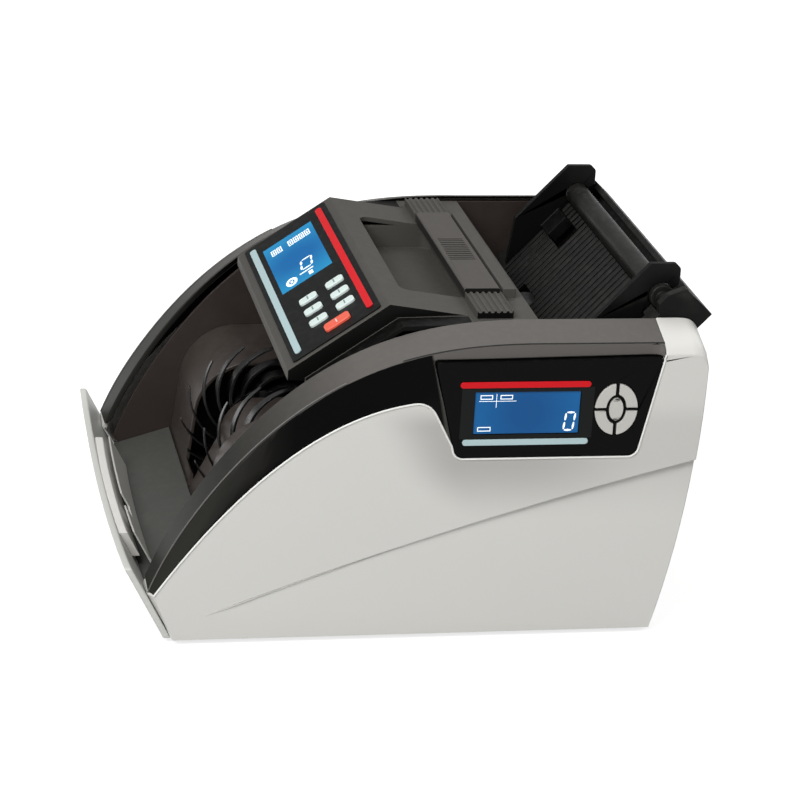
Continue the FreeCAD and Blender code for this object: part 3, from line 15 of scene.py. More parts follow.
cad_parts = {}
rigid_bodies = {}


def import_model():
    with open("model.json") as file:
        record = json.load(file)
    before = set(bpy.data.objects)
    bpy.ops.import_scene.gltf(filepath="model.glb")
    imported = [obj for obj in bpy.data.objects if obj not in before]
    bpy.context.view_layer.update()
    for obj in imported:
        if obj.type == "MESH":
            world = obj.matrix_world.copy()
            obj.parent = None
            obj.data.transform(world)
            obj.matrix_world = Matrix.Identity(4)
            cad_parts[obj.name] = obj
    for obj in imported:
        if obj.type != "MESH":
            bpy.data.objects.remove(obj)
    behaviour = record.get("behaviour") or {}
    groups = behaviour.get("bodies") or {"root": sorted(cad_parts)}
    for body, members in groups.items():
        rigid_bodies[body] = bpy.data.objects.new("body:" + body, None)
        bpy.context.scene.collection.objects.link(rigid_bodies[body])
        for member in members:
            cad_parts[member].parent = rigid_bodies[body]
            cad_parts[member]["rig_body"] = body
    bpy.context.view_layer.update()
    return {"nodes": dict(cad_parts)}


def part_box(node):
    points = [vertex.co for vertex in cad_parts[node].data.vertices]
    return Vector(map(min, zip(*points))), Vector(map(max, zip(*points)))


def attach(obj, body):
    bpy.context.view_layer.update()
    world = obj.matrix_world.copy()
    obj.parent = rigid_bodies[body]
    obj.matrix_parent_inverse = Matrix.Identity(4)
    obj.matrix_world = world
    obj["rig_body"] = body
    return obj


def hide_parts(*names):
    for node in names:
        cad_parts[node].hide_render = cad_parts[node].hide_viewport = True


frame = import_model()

logging.basicConfig(level=logging.INFO, format="%(message)s")
log = logging.getLogger("banknote_counter")

Inputs = Mapping[str | int, object]
Pair = tuple[float, float]
Triple = tuple[float, float, float]

# Lengths are millimetres and angles degrees, unless a docstring says otherwise.
MM = 0.001
SHIFT_Y = -0.049
WELD = 0.004
SHORT_EDGE = 0.32
MERGE_ANGLE = 0.5
TRIM_ANGLE = 0.3
BEVEL_ANGLE = 32.0
SMOOTH_ANGLE = 38.0
BEAD_ANGLE = 50.0
# Square metres above which a face of a casing is lit by its own normal.
LARGE_FACE = 0.001
# Linear colour of dust, and how the grain of turned metal is drawn out along X.
DUST = (0.55, 0.53, 0.5)
TURNED_STRETCH = (1.0, 0.02, 0.02)
# Share of a normal along an axis at which a face starts and ends to count as looking that way.
FACING = (0.88, 0.94)
# Sockets of the shader groups that hold no plain number.
SOCKET_KINDS = {"Vector": "NodeSocketVector", "Base": "NodeSocketColor", "Color": "NodeSocketColor"}


class Surface(Enum):
    """Kinds of surface that a finish can have."""

    MOULDED = "moulded plastic or rubber"
    TURNED = "turned metal"


def tint(code: str) -> Triple:
    """Linear red, green and blue of a hexadecimal display colour."""
    values = [int(code[i:i + 2], 16) / 255 for i in (1, 3, 5)]
    return tuple(v / 12.92 if v <= 0.04045 else ((v + 0.055) / 1.055) ** 2.4 for v in values)


def place(x: float, y: float, z: float) -> Vector:
    """Point of the machine's drawing in the shared frame, in metres."""
    return Vector((x, y + SHIFT_Y, z)) * MM


def deselect() -> None:
    """Leave every object unselected and in object mode."""
    if bpy.context.object and bpy.context.object.mode != "OBJECT":
        bpy.ops.object.mode_set(mode="OBJECT")
    bpy.ops.object.select_all(action="DESELECT")


def only(piece: Object) -> None:
    """Select one object and make it active.

    Args:
        piece: The object that the next operators work on.
    """
    deselect()
    piece.select_set(True)
    bpy.context.view_layer.objects.active = piece


@contextmanager
def editing(piece: Object) -> Iterator[None]:
    """Edit mode on one object, with its whole mesh selected.

    Args:
        piece: The object to edit.

    Returns:
        A context that goes back to object mode at its end.
    """
    only(piece)
    bpy.ops.object.mode_set(mode="EDIT")
    bpy.ops.mesh.select_mode(type="VERT")
    bpy.ops.mesh.select_all(action="SELECT")
    yield
    bpy.ops.object.mode_set(mode="OBJECT")


def pick(piece: Object, test: Callable[[Vector], bool]) -> None:
    """Select the vertices of the edited object that pass a test.

    Args:
        piece: The object in edit mode.
        test: Says whether a vertex at a place is wanted.
    """
    bpy.ops.mesh.select_all(action="DESELECT")
    bpy.ops.object.mode_set(mode="OBJECT")
    for vertex in piece.data.vertices:
        vertex.select = test(vertex.co)
    bpy.ops.object.mode_set(mode="EDIT")


def thicken(depth: float) -> None:
    """Raise the edited flat piece to a solid along Z.

    Args:
        depth: How far it is raised.
    """
    bpy.ops.mesh.select_all(action="SELECT")
    bpy.ops.mesh.extrude_region_move(TRANSFORM_OT_translate={"value": (0, 0, depth * MM)})
    bpy.ops.mesh.select_all(action="SELECT")
    bpy.ops.mesh.normals_make_consistent(inside=False)


def apply_bevel(piece: Object, width: float, segments: int = 2, clamp: bool = False) -> None:
    """Round the sharp edges of a piece, with large faces shaded evenly.

    Args:
        piece: The object to round.
        width: Bevel width.
        segments: Steps across the bevel.
        clamp: Whether the bevel shrinks where it has no room.
    """
    only(piece)
    rounding = piece.modifiers.new("rounding", "BEVEL")
    rounding.width = width * MM
    rounding.segments = segments
    rounding.limit_method = "ANGLE"
    rounding.angle_limit = math.radians(BEVEL_ANGLE)
    rounding.use_clamp_overlap = clamp
    rounding.miter_outer = "MITER_ARC"
    bpy.ops.object.modifier_apply(modifier=rounding.name)
    with editing(piece):
        bpy.ops.mesh.dissolve_limited(angle_limit=math.radians(TRIM_ANGLE))
    smooth(piece)


def smooth(piece: Object) -> None:
    """Smooth shading in which large faces stay even.

    Args:
        piece: The object to shade.
    """
    only(piece)
    bpy.ops.object.shade_smooth_by_angle(angle=math.radians(SMOOTH_ANGLE))
    evening = piece.modifiers.new("evening", "WEIGHTED_NORMAL")
    evening.keep_sharp = True
    evening.weight = 100
    bpy.ops.object.modifier_apply(modifier=evening.name)


def level_sides(piece: Object) -> None:
    """Close the folds in a piece's bevel and light its large flat faces evenly, each by its own normal.

    Args:
        piece: The object to shade.
    """
    with editing(piece):
        bpy.ops.mesh.dissolve_degenerate(threshold=SHORT_EDGE * MM)
    smooth(piece)
    mesh = piece.data
    normals = [corner.vector.copy() for corner in mesh.corner_normals]
    for polygon in mesh.polygons:
        if polygon.area > LARGE_FACE:
            for index in polygon.loop_indices:
                normals[index] = polygon.normal.copy()
    mesh.normals_split_custom_set(normals)


def softened(node: str, width: float, segments: int, level: bool) -> Object:
    """Copy of a CAD node with its facets merged and its edges rounded.

    Args:
        node: Name of the CAD node that the copy stands for.
        width: Bevel width, or nothing for smooth shading alone.
        segments: Steps across the bevel.
        level: Whether its large flat faces are lit evenly.

    Returns:
        The new piece, which replaces the node and rides on its body.
    """
    source = frame["nodes"][node]
    body = source["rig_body"]
    piece = bpy.data.objects.new(node + "_finished", source.data.copy())
    bpy.context.scene.collection.objects.link(piece)
    with editing(piece):
        bpy.ops.mesh.remove_doubles(threshold=WELD * MM)
        bpy.ops.mesh.dissolve_limited(angle_limit=math.radians(MERGE_ANGLE))
        bpy.ops.mesh.quads_convert_to_tris(ngon_method="BEAUTY")
    if width > 0:
        apply_bevel(piece, width, segments)
    else:
        smooth(piece)
    if level:
        level_sides(piece)
    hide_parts(node)
    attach(piece, body)
    return piece


def paint(piece: Object, material: Material) -> None:
    """Give a piece its new and only material."""
    piece.data.materials.clear()
    piece.data.materials.append(material)


def settle(piece: Object, matrix: Matrix) -> None:
    """Move a piece by a matrix and put the place into its mesh.

    Args:
        piece: The object to move.
        matrix: Where its own origin goes.
    """
    only(piece)
    piece.matrix_world = matrix @ piece.matrix_world
    bpy.context.view_layer.update()
    bpy.ops.object.transform_apply()


def joined(pieces: Sequence[Object], name: str) -> Object:
    """One object from several.

    Args:
        pieces: The objects to join.
        name: Name of the result.

    Returns:
        The joined object.
    """
    deselect()
    for piece in pieces:
        piece.select_set(True)
    bpy.context.view_layer.objects.active = pieces[0]
    bpy.ops.object.join()
    pieces[0].name = name
    return pieces[0]


def primitive(kind: str, scale: Sequence[float], **options: object) -> Object:
    """New mesh of one of Blender's own kinds.

    Args:
        kind: Blender's name of the kind.
        scale: Its stretch along each axis.
        options: Values for the operator.

    Returns:
        The new object.
    """
    deselect()
    getattr(bpy.ops.mesh, f"primitive_{kind}_add")(**options)
    bpy.context.object.scale = scale
    bpy.ops.object.transform_apply()
    return bpy.context.object


def block(name: str, low: Vector, high: Vector, rounding: float) -> Object:
    """Bar between two corners with rounded edges.

    Args:
        name: Name of the object.
        low: Lowest corner in metres.
        high: Highest corner in metres.
        rounding: Bevel width.

    Returns:
        The new object.
    """
    piece = primitive("cube", high - low, size=1, location=(low + high) / 2)
    piece.name = name
    apply_bevel(piece, rounding, segments=3, clamp=True)
    return piece


def bead(name: str, path: Sequence[Vector], radius: float) -> Object:
    """Thin round bar along a path.

    Args:
        name: Name of the object.
        path: Its points in metres.
        radius: Radius of the bar.

    Returns:
        The new object.
    """
    piece = primitive("plane", (1, 1, 1), size=MM, location=path[0])
    piece.name = name
    with editing(piece):
        bpy.ops.mesh.merge(type="CENTER")
        for before, after in zip(path, path[1:]):
            bpy.ops.mesh.extrude_region_move(TRANSFORM_OT_translate={"value": after - before})
    only(piece)
    bpy.ops.object.convert(target="CURVE")
    piece.data.bevel_depth = radius * MM
    piece.data.bevel_resolution = 3
    piece.data.use_fill_caps = True
    bpy.ops.object.convert(target="MESH")
    bpy.ops.object.shade_smooth_by_angle(angle=math.radians(BEAD_ANGLE))
    return piece


@dataclass(frozen=True)
class Graph:
    """Shader nodes of a material, world or group, and a finish's object coordinates in metres."""

    tree: NodeTree
    spot: Socket | None = None

    def feed(self, node: Node, inputs: Inputs) -> None:
        """Link or set the inputs of a shader node.

        Args:
            node: The node to feed.
            inputs: Sockets, numbers or colours by the input's name or number.
        """
        for label, value in inputs.items():
            socket = node.inputs[label]
            if isinstance(value, Socket):
                self.tree.links.new(value, socket)
            elif socket.type == "RGBA":
                socket.default_value = (*(tint(value) if isinstance(value, str) else value), 1.0)
            else:
                socket.default_value = value

    def add(self, kind: str, inputs: Inputs | None = None, **properties: object) -> Node:
        """New shader node.

        Args:
            kind: Blender's name of the node type.
            inputs: Sockets, numbers or colours by the input's name or number.
            properties: Values of the node's own properties.

        Returns:
            The node.
        """
        node = self.tree.nodes.new(kind)
        for label, value in properties.items():
            setattr(node, label, value)
        self.feed(node, inputs or {})
        return node

    def noise(self, vector: Socket, scale: float, detail: float) -> Socket:
        """Noise about one half on a vector, by waves per metre and octaves."""
        inputs = {"Vector": vector, "Scale": scale, "Detail": detail}
        return self.add("ShaderNodeTexNoise", inputs).outputs[0]

    def remap(self, value: Socket, low: float, high: float,
              out_low: float = 0.0, out_high: float = 1.0, way: str = "LINEAR") -> Socket:
        """Value stretched from one range to another and clamped, by Blender's name of the interpolation."""
        inputs = dict(enumerate((value, low, high, out_low, out_high)))
        return self.add("ShaderNodeMapRange", inputs, interpolation_type=way).outputs[0]

    def sums(self, operation: str, first: object, second: object = 0.0) -> Socket:
        """Arithmetic on sockets or numbers, by Blender's name of the operation."""
        return self.add("ShaderNodeMath", {0: first, 1: second}, operation=operation).outputs[0]

    def product(self, *values: object) -> Socket:
        """Sockets and numbers multiplied."""
        return reduce(partial(self.sums, "MULTIPLY"), values)

    def most(self, *values: object) -> Socket:
        """Highest of several sockets and numbers."""
        return reduce(partial(self.sums, "MAXIMUM"), values)

    def swing(self, value: Socket, depth: object) -> Socket:
        """How far a noise strays from one half to both sides, times a depth."""
        return self.product(self.sums("SUBTRACT", value, 0.5), depth)

    def scaled(self, vector: object, factor: object) -> Socket:
        """Vector or colour times a factor."""
        return self.add("ShaderNodeVectorMath", {0: vector, 3: factor}, operation="SCALE").outputs[0]

    def split(self, vector: Socket) -> tuple[Socket, ...]:
        """The x, y and z of a vector."""
        return tuple(self.add("ShaderNodeSeparateXYZ", {0: vector}).outputs)

    def blend(self, share: object, first: object, second: object) -> Socket:
        """Mix of two colours, by the share of the second."""
        return self.add("ShaderNodeMix", {0: share, 6: first, 7: second}, data_type="RGBA").outputs[2]

    def looking(self, axis: int, share: float = 1.0) -> Socket:
        """Mask that has a value on faces that look along an axis, either way."""
        facing = self.split(self.add("ShaderNodeNewGeometry").outputs["Normal"])[axis]
        return self.remap(self.sums("ABSOLUTE", facing), *FACING, 0.0, share)


def group(name: str, inputs: Sequence[str], outputs: Sequence[str]) -> tuple:
    """Empty shader group with named sockets.

    Args:
        name: Name of the group.
        inputs: Names of its inputs.
        outputs: Names of its outputs.

    Returns:
        The group's graph, the sockets that it is given and its output node.
    """
    tree = bpy.data.node_groups.new(name, "ShaderNodeTree")
    for way, labels in (("INPUT", inputs), ("OUTPUT", outputs)):
        for label in labels:
            kind = SOCKET_KINDS.get(label, "NodeSocketFloat")
            tree.interface.new_socket(name=label, in_out=way, socket_type=kind)
    return Graph(tree), tree.nodes.new("NodeGroupInput").outputs, tree.nodes.new("NodeGroupOutput")


def grain_group() -> NodeTree:
    """Moulded grain: slow tonal drift, fine spark-eroded texture and faint flow marks.

    Returns:
        The shader group.
    """
    graph, given, end = group("moulded_grain", ("Vector", "Base", "Drift", "Roughness", "Scale"),
                              ("Color", "Roughness", "Height"))
    fitted = graph.scaled(given["Vector"], given["Scale"])
    slow = graph.noise(given["Vector"], scale=22.0, detail=3.0)
    fine = graph.noise(fitted, scale=1500.0, detail=2.0)
    coarse = graph.noise(fitted, scale=420.0, detail=2.0)
    drift = graph.sums("ADD", graph.swing(slow, given["Drift"]), graph.swing(fine, given["Drift"]))
    graph.feed(end, {
        "Color": graph.scaled(given["Base"], graph.sums("ADD", drift, 1.0)),
        "Roughness": graph.sums("ADD", given["Roughness"], graph.swing(slow, depth=0.12)),
        "Height": graph.sums("ADD", fine, coarse)})
    return graph.tree


def wear_group() -> NodeTree:
    """Rubbed edges, and dust that settles on faces that look up.

    Returns:
        The shader group.
    """
    graph, given, end = group("handling_wear", ("Vector", "Rub", "Dust"), ("Rub", "Dust"))
    shape = graph.add("ShaderNodeNewGeometry").outputs
    edge = graph.remap(shape["Pointiness"], low=0.53, high=0.60)
    broken = graph.remap(graph.noise(given["Vector"], scale=90.0, detail=4.0), low=0.42, high=0.62)
    up = graph.remap(graph.split(shape["Normal"])[2], low=0.35, high=0.95)
    motes = graph.remap(graph.noise(given["Vector"], scale=260.0, detail=5.0), low=0.45, high=0.75)
    graph.feed(end, {
        "Rub": graph.product(edge, broken, given["Rub"]),
        "Dust": graph.product(up, motes, given["Dust"])})
    return graph.tree


def turning_group() -> NodeTree:
    """Fine tool lines round a turned or drawn metal piece.

    Returns:
        The shader group.
    """
    graph, given, end = group("turning_lines", ("Vector", "Base", "Roughness"),
                              ("Color", "Roughness", "Height"))
    lines = graph.noise(given["Vector"], scale=2600.0, detail=3.0)
    cloud = graph.noise(given["Vector"], scale=60.0, detail=2.0)
    graph.feed(end, {
        "Color": graph.scaled(given["Base"], graph.sums("ADD", graph.swing(lines, depth=0.35), 1.0)),
        "Roughness": graph.sums("ADD", given["Roughness"], graph.swing(cloud, depth=0.3)),
        "Height": lines})
    return graph.tree


@dataclass
class Palette:
    """Shared shader groups, and the materials made from them by name."""

    grain: NodeTree
    wear: NodeTree
    turning: NodeTree
    made: dict[str, Material] = field(default_factory=dict)

    def get(self, finish: "Finish") -> Material:
        """Material of a finish, built on first use.

        Args:
            finish: The finish.

        Returns:
            Its material.
        """
        if finish.name not in self.made:
            self.made[finish.name] = finish.build(self)
        return self.made[finish.name]


@dataclass(frozen=True)
class Finish:
    """One finish of the machine, with its hexadecimal colours and the values of its grain, wear and gloss."""

    name: str
    color: str
    roughness: float
    surface: Surface = Surface.MOULDED
    drift: float = 0.06
    grain: float = 1.0
    depth: float = 0.03
    rub: float = 0.0
    rub_color: str = "#bcbcbc"
    dust: float = 0.08
    coat: float = 0.0
    coat_roughness: float = 0.06
    specular: float = 0.5
    metallic: float = 0.0
    glow: float = 0.0
    bump: float = 0.5
    dust_roughness: float = 0.4

    def base(self, graph: Graph) -> object:
        """Colour before grain and wear, as a socket or plain."""
        return self.color

    def build(self, palette: Palette) -> Material:
        """Make the material.

        Args:
            palette: Holder of the shared shader groups.

        Returns:
            The finished material.
        """
        material = bpy.data.materials.new(self.name)
        material.use_nodes = True
        tree = material.node_tree
        graph = Graph(tree, tree.nodes.new("ShaderNodeTexCoord").outputs["Object"])
        given = {"Vector": graph.spot, "Base": self.base(graph), "Roughness": self.roughness}
        if self.surface is Surface.TURNED:
            drawn = {"Vector": graph.spot, "Scale": TURNED_STRETCH}
            given["Vector"] = graph.add("ShaderNodeMapping", drawn).outputs[0]
            effect = graph.add("ShaderNodeGroup", given, node_tree=palette.turning).outputs
        else:
            given |= {"Drift": self.drift, "Scale": self.grain}
            effect = graph.add("ShaderNodeGroup", given, node_tree=palette.grain).outputs
        handled = {"Vector": graph.spot, "Rub": self.rub, "Dust": self.dust}
        wear = graph.add("ShaderNodeGroup", handled, node_tree=palette.wear).outputs
        worn = graph.blend(wear["Rub"], effect["Color"], self.rub_color)
        dusty = graph.blend(wear["Dust"], worn, DUST)
        dull = graph.product(wear["Dust"], self.dust_roughness)
        relief = {"Strength": self.bump, "Distance": self.depth * MM, "Height": effect["Height"]}
        values = {
            "Base Color": dusty, "Roughness": graph.sums("ADD", effect["Roughness"], dull),
            "Normal": graph.add("ShaderNodeBump", relief).outputs[0], "Metallic": self.metallic,
            "Coat Weight": self.coat, "Coat Roughness": self.coat_roughness,
            "Specular IOR Level": self.specular}
        if self.glow > 0:
            values |= {"Emission Color": dusty, "Emission Strength": self.glow}
        graph.feed(tree.nodes["Principled BSDF"], values)
        return material


@dataclass(frozen=True)
class BandedFinish(Finish):
    """Grey cover, darker at its front, with a black upright band that carries painted shade, grey at its
    front and by the ridge, up to a grey tongue by the display.
    """

    front: str = "#272727"
    band: str = "#050505"
    band_shade_front: str = "#272727"
    tongue: str = "#272727"
    stop_y: float = 31.0
    stop_lean: float = -0.2
    stop_fade: float = 1.2
    strip_z: float = 141.5
    strip_fade: float = 0.6
    band_shade_x: Pair = (120.6, 124.6)
    fade: Pair = (-112.0, -62.0)
    top_fade: Pair = (-92.0, -30.0)

    def base(self, graph: Graph) -> Socket:
        """Grey above, and black on the side, with painted shade that pales the band to grey towards its front
        and its ridge.

        Args:
            graph: The material's nodes.

        Returns:
            The colour socket.
        """
        x, y, z = graph.split(graph.scaled(graph.spot, 1 / MM))
        top = graph.blend(graph.remap(y, *self.top_fade), self.front, self.color)
        low = graph.remap(graph.sums("ABSOLUTE", x), *self.band_shade_x)
        # Painted shade on the band: grey at the front and by the ridge, deepening to black further back and
        # towards the casing.
        side = graph.blend(graph.most(graph.remap(y, *self.fade), low), self.band_shade_front, self.band)
        ahead = graph.sums("SUBTRACT", y, graph.product(z, self.stop_lean))
        after = graph.remap(ahead, self.stop_y - self.stop_fade, self.stop_y)
        above = graph.remap(z, self.strip_z - self.strip_fade, self.strip_z)
        side = graph.blend(after, side, graph.blend(above, self.tongue, self.color))
        return graph.blend(graph.looking(0), top, side)


@dataclass(frozen=True)
class SideShadedFinish(Finish):
    """Dark moulding with painted shade: black on its side faces, in the gaps beside the head and, by a share,
    on faces that look along Y.
    """

    side: str = "#0c0c0c"
    front_shade_share: float = 0.0
    side_x: float = 0.0
    side_fade: float = 1.0
    gap_x: float = 1000.0
    gap_y: float = 0.0
    gap_fade: float = 0.3

    def base(self, graph: Graph) -> Socket:
        """Grey, with painted shade in black on side faces, in the gaps and on faces that look along Y.

        Args:
            graph: The material's nodes.

        Returns:
            The colour socket.
        """
        x, y, z = graph.split(graph.scaled(graph.spot, 1 / MM))
        across = graph.sums("ABSOLUTE", x)
        beside = graph.remap(across, self.gap_x - self.gap_fade, self.gap_x)
        before = graph.remap(y, self.gap_y - self.gap_fade, self.gap_y, 1.0, 0.0)
        outer = graph.remap(across, self.side_x - self.side_fade, self.side_x)
        flank = graph.product(graph.looking(0), outer)
        # Painted shade: black on the flanks, in the gaps beside the head and on faces that look along Y.
        dark = graph.most(flank, graph.product(beside, before), graph.looking(1, self.front_shade_share))
        return graph.blend(dark, self.color, self.side)


@dataclass(frozen=True)
class PaintedShadeFinish(Finish):
    """Light casing with painted shade that deepens softly in front of the display and under it, standing in
    for a shallow hollow.
    """

    deep: str = "#aaaaa8"
    edge_y: float = 9.0
    edge_z: float = 105.0
    edge_lean: float = -0.53
    low_z: float = 92.5
    reach: float = 34.0
    top_fade: Pair = (108.0, 122.0)
    rear_fade: Pair = (45.0, 115.0)
    rear_share: float = 0.35
    side_fade: Pair = (0.0, 100.0)

    def base(self, graph: Graph) -> Socket:
        """Light tone, with painted shade near the display's front and lower edge.

        Args:
            graph: The material's nodes.

        Returns:
            The colour socket.
        """
        x, y, z = graph.split(graph.scaled(graph.spot, 1 / MM))
        edge = graph.sums("ADD", graph.product(z, self.edge_lean), self.edge_y - self.edge_z * self.edge_lean)
        ahead = graph.most(graph.sums("SUBTRACT", edge, y), 0.0)
        below = graph.most(graph.sums("SUBTRACT", self.low_z, z), 0.0)
        squares = graph.sums("ADD", graph.sums("POWER", ahead, 2.0), graph.sums("POWER", below, 2.0))
        near = graph.remap(graph.sums("SQRT", squares), 0.0, self.reach, 1.0, 0.0, "SMOOTHSTEP")
        top = graph.remap(z, *self.top_fade, 1.0, 0.0, "SMOOTHSTEP")
        rear = graph.remap(y, *self.rear_fade, 1.0, self.rear_share, "SMOOTHSTEP")
        # Painted shade: share of the deeper colour near the display, fading upwards, rearwards and towards
        # the left side.
        share = graph.product(near, top, rear, graph.remap(x, *self.side_fade))
        return graph.blend(share, self.color, self.deep)


@dataclass(frozen=True)
class DisplayFinish(Finish):
    """Lit blue display, deeper towards its middle."""

    deep: str = "#1959a0"
    node: str = ""
    reach: float = 30.0
    even_share: float = 0.2

    def base(self, graph: Graph) -> Socket:
        """Blue that pales towards the display's edge.

        Args:
            graph: The material's nodes.

        Returns:
            The colour socket.
        """
        low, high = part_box(self.node)
        ends = {0: graph.spot, 1: (low + high) / 2}
        away = graph.add("ShaderNodeVectorMath", ends, operation="DISTANCE").outputs["Value"]
        reach = self.reach * MM
        return graph.blend(graph.remap(away, self.even_share * reach, reach), self.deep, self.color)


@dataclass(frozen=True)
class RibbedFinish(Finish):
    """Rubber with fine grooves round its rolling face, drawn in colour with painted shade in the grooves."""

    pitch: float = 1.6
    groove_shade_share: float = 0.45

    def base(self, graph: Graph) -> Socket:
        """Black rubber with painted shade in the grooves.

        Args:
            graph: The material's nodes.

        Returns:
            The colour socket.
        """
        waves = {"Vector": graph.spot, "Scale": 1.0 / (self.pitch * MM) / math.pi}
        wave = graph.add("ShaderNodeTexWave", waves, bands_direction="X").outputs["Fac"]
        # Painted shade: the grooves are darker.
        return graph.scaled(tint(self.color), graph.remap(wave, low=0.2, high=0.8, out_low=self.groove_shade_share))


# Light casing whose deep colour is painted shade in front of and under the side display, on the right side
# only.
CASING_SHADED = PaintedShadeFinish("casing_light", "#dad9d4", 0.42, drift=0.02, dust=0.03, deep="#b5b3af")
REAR_LIGHT = Finish("rear_light", "#dad9d4", 0.42, drift=0.02, dust=0.03)
# Bead colour lighter than the casing, a painted highlight.
RIM_HIGHLIGHT = Finish("casing_rim", "#efeeea", 0.36, drift=0.02, dust=0.0)
PANEL = Finish("panel_light", "#d0d0cb", 0.45, drift=0.025, dust=0.03)
# The band's grey at its front is painted shade on the black band.
COVER_RIGHT = BandedFinish(
    "cover_right", "#625f5c", 0.40, drift=0.05, dust=0.02, specular=0.06, front="#2b2b28", band="#040404",
    band_shade_front="#2b2a28", tongue="#42423f")
COVER_LEFT = replace(COVER_RIGHT, name="cover_left", stop_y=400.0)
# Housing with painted shade in black on its outer side faces and in the gaps beside the head.
HOUSING = SideShadedFinish(
    "housing_dark", "#504e4a", 0.46, drift=0.04, dust=0.02, specular=0.1, side="#0c0c0b", side_x=80.0,
    gap_x=88.8, gap_y=25.0)
# Bridge with painted shade on its side faces and, mostly, on faces that look along Y.
BRIDGE = SideShadedFinish(
    "bridge_dark", "#524f4c", 0.44, drift=0.04, dust=0.02, specular=0.15, side="#1a1a18", front_shade_share=0.85)
# Hopper tray with painted shade in black on its faces that look sideways.
HOPPER_DARK = SideShadedFinish(
    "hopper_dark", "#232322", 0.46, drift=0.08, rub=0.25, rub_color="#4a4945", dust=0.04, specular=0.12,
    side="#0a0a0a")
GUIDE_DARK = Finish(
    "guide_dark", "#0a0b0a", 0.45, drift=0.08, rub=0.25, rub_color="#3a3936", dust=0.02, specular=0.15)
ROD_DARK = Finish(
    "rod_dark", "#1a1a18", 0.40, drift=0.08, rub=0.25, rub_color="#55534f", dust=0.03, specular=0.25)
FLOOR_GREY = Finish("stacker_grey", "#4a4b47", 0.46, drift=0.03, dust=0.02, specular=0.3)
WALL_BROWN = Finish("frame_paint", "#332b28", 0.40, rub=0.25, rub_color="#5e5752", dust=0.03)
GUIDE_BROWN = Finish("stacker_brown", "#3d3632", 0.36, rub=0.25, rub_color="#6a625c", dust=0.03)
BASE_PAINT = Finish("base_paint", "#77787a", 0.5, grain=0.4, drift=0.05, rub=0.3, rub_color="#b9b9b9")
STEEL = Finish("turned_steel", "#c4c4c2", 0.28, Surface.TURNED, rub=0.1, metallic=1.0, dust=0.03)
ALLOY = replace(STEEL, name="turned_alloy", color="#cdcdd0", roughness=0.34)
BRONZE = replace(STEEL, name="bearing_bronze", color="#b0854e", roughness=0.42)
WINDING = replace(STEEL, name="motor_steel", color="#8b8d90", roughness=0.4, dust=0.08)
STOP_GREY = Finish("stop_grey", "#bdbcb7", 0.42, drift=0.03, dust=0.03)
# Rubber tyres whose grooves are drawn as painted shade.
TYRE = RibbedFinish("roller_rubber", "#2a2a2a", 0.75, drift=0.15, depth=0.06, rub=0.15)
RUBBER = Finish("soft_rubber", "#222222", 0.78, drift=0.12, depth=0.06, rub=0.2)
FIN = Finish("fin_black", "#070707", 0.26, drift=0.2, rub=0.35, rub_color="#6c6a68", dust=0.02, specular=0.45)
PAD = Finish("pad_white", "#dedcd7", 0.55, drift=0.04, rub=0.1, rub_color="#f2f1ee")
SHEET_BLACK = Finish("panel_black", "#121313", 0.38, drift=0.08, depth=0.01, dust=0.02, specular=0.1)
BEZEL_BLACK = Finish("bezel_black", "#060606", 0.3, drift=0.08, depth=0.01, dust=0.01, specular=0.06)
BEZEL_GREY = Finish("bezel_grey", "#161817", 0.42, drift=0.03, depth=0.01, dust=0.0, specular=0.1)
RED = Finish("strip_red", "#d8121e", 0.38, drift=0.05, depth=0.01, rub=0.05, specular=0.2, dust=0.01)
PALE = Finish("strip_pale", "#b4cdd0", 0.3, drift=0.05, depth=0.01, rub=0.05, coat=0.15, dust=0.02)
KEY_PALE = Finish("key_pale", "#dbeae6", 0.45, depth=0.02, rub=0.2, rub_color="#e6eeec")
KEY_RED = Finish("key_red", "#f0634a", 0.42, depth=0.02, rub=0.2, rub_color="#f7a28f")
KEY_GREY = Finish("key_grey", "#c8c6c0", 0.42, depth=0.02, rub=0.2, rub_color="#e4e3de")
INLET = Finish("inlet_black", "#121212", 0.32, drift=0.1, depth=0.02, rub=0.2, coat=0.1)
BOARD = Finish("board_green", "#1b5a35", 0.4, drift=0.2, depth=0.02, rub=0.1, coat=0.4)
CHIP = Finish("chip_black", "#1a1a1c", 0.55, drift=0.1, rub=0.1)
PRINT = Finish("segment_white", "#f4fbff", 0.4, drift=0.03, depth=0.01, dust=0.0, glow=0.45)
LEGEND = Finish("legend_grey", "#7f9490", 0.5, drift=0.05, depth=0.01, dust=0.0)
# Painted highlight along the front part of the covers' ridges.
GLINT = Finish("ridge_glint", "#63615e", 0.35, drift=0.1, dust=0.0)
# Painted shadow line along the rear part of the covers' ridges.
RIDGE_SHADOW = Finish("ridge_shadow_dark", "#161514", 0.5, drift=0.1, dust=0.0)
FRONT_BLUE = DisplayFinish(
    "front_display", "#2695c6", 0.3, drift=0.05, depth=0.005, dust=0.0, specular=0.08, glow=0.12,
    deep="#0a63a2", node="front_lcd", reach=45.0)
SIDE_BLUE = replace(
    FRONT_BLUE, name="side_display", color="#1263a0", specular=0.2, deep="#094e88", node="side_lcd",
    reach=30.0)


Rows = tuple[tuple[str, Finish, float], ...]
Sizes = tuple[tuple[float, ...], ...]


@dataclass
class Section:
    """Part of the machine that is dressed in one go, by rows of CAD node, finish and bevel width."""

    palette: Palette
    segments: int = 2
    rows: Rows = ()

    def dress(self) -> None:
        """Round the section's pieces and give them their finishes."""
        for node, finish, width in self.rows:
            paint(softened(node, width, self.segments, finish is CASING_SHADED), self.palette.get(finish))
            log.info("finished %s", node)

    def build(self) -> None:
        """Make the section's own small pieces, where it has any."""

    def carry(self, piece: Object, slot: str, finish: Finish, body: str = "machine") -> None:
        """Dress a new piece and fix it to a body.

        Args:
            piece: The new object.
            slot: Material slot of the record; not used.
            finish: Its finish.
            body: Body that it moves with.
        """
        paint(piece, self.palette.get(finish))
        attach(piece, body)
        log.info("made %s on %s", piece.name, body)


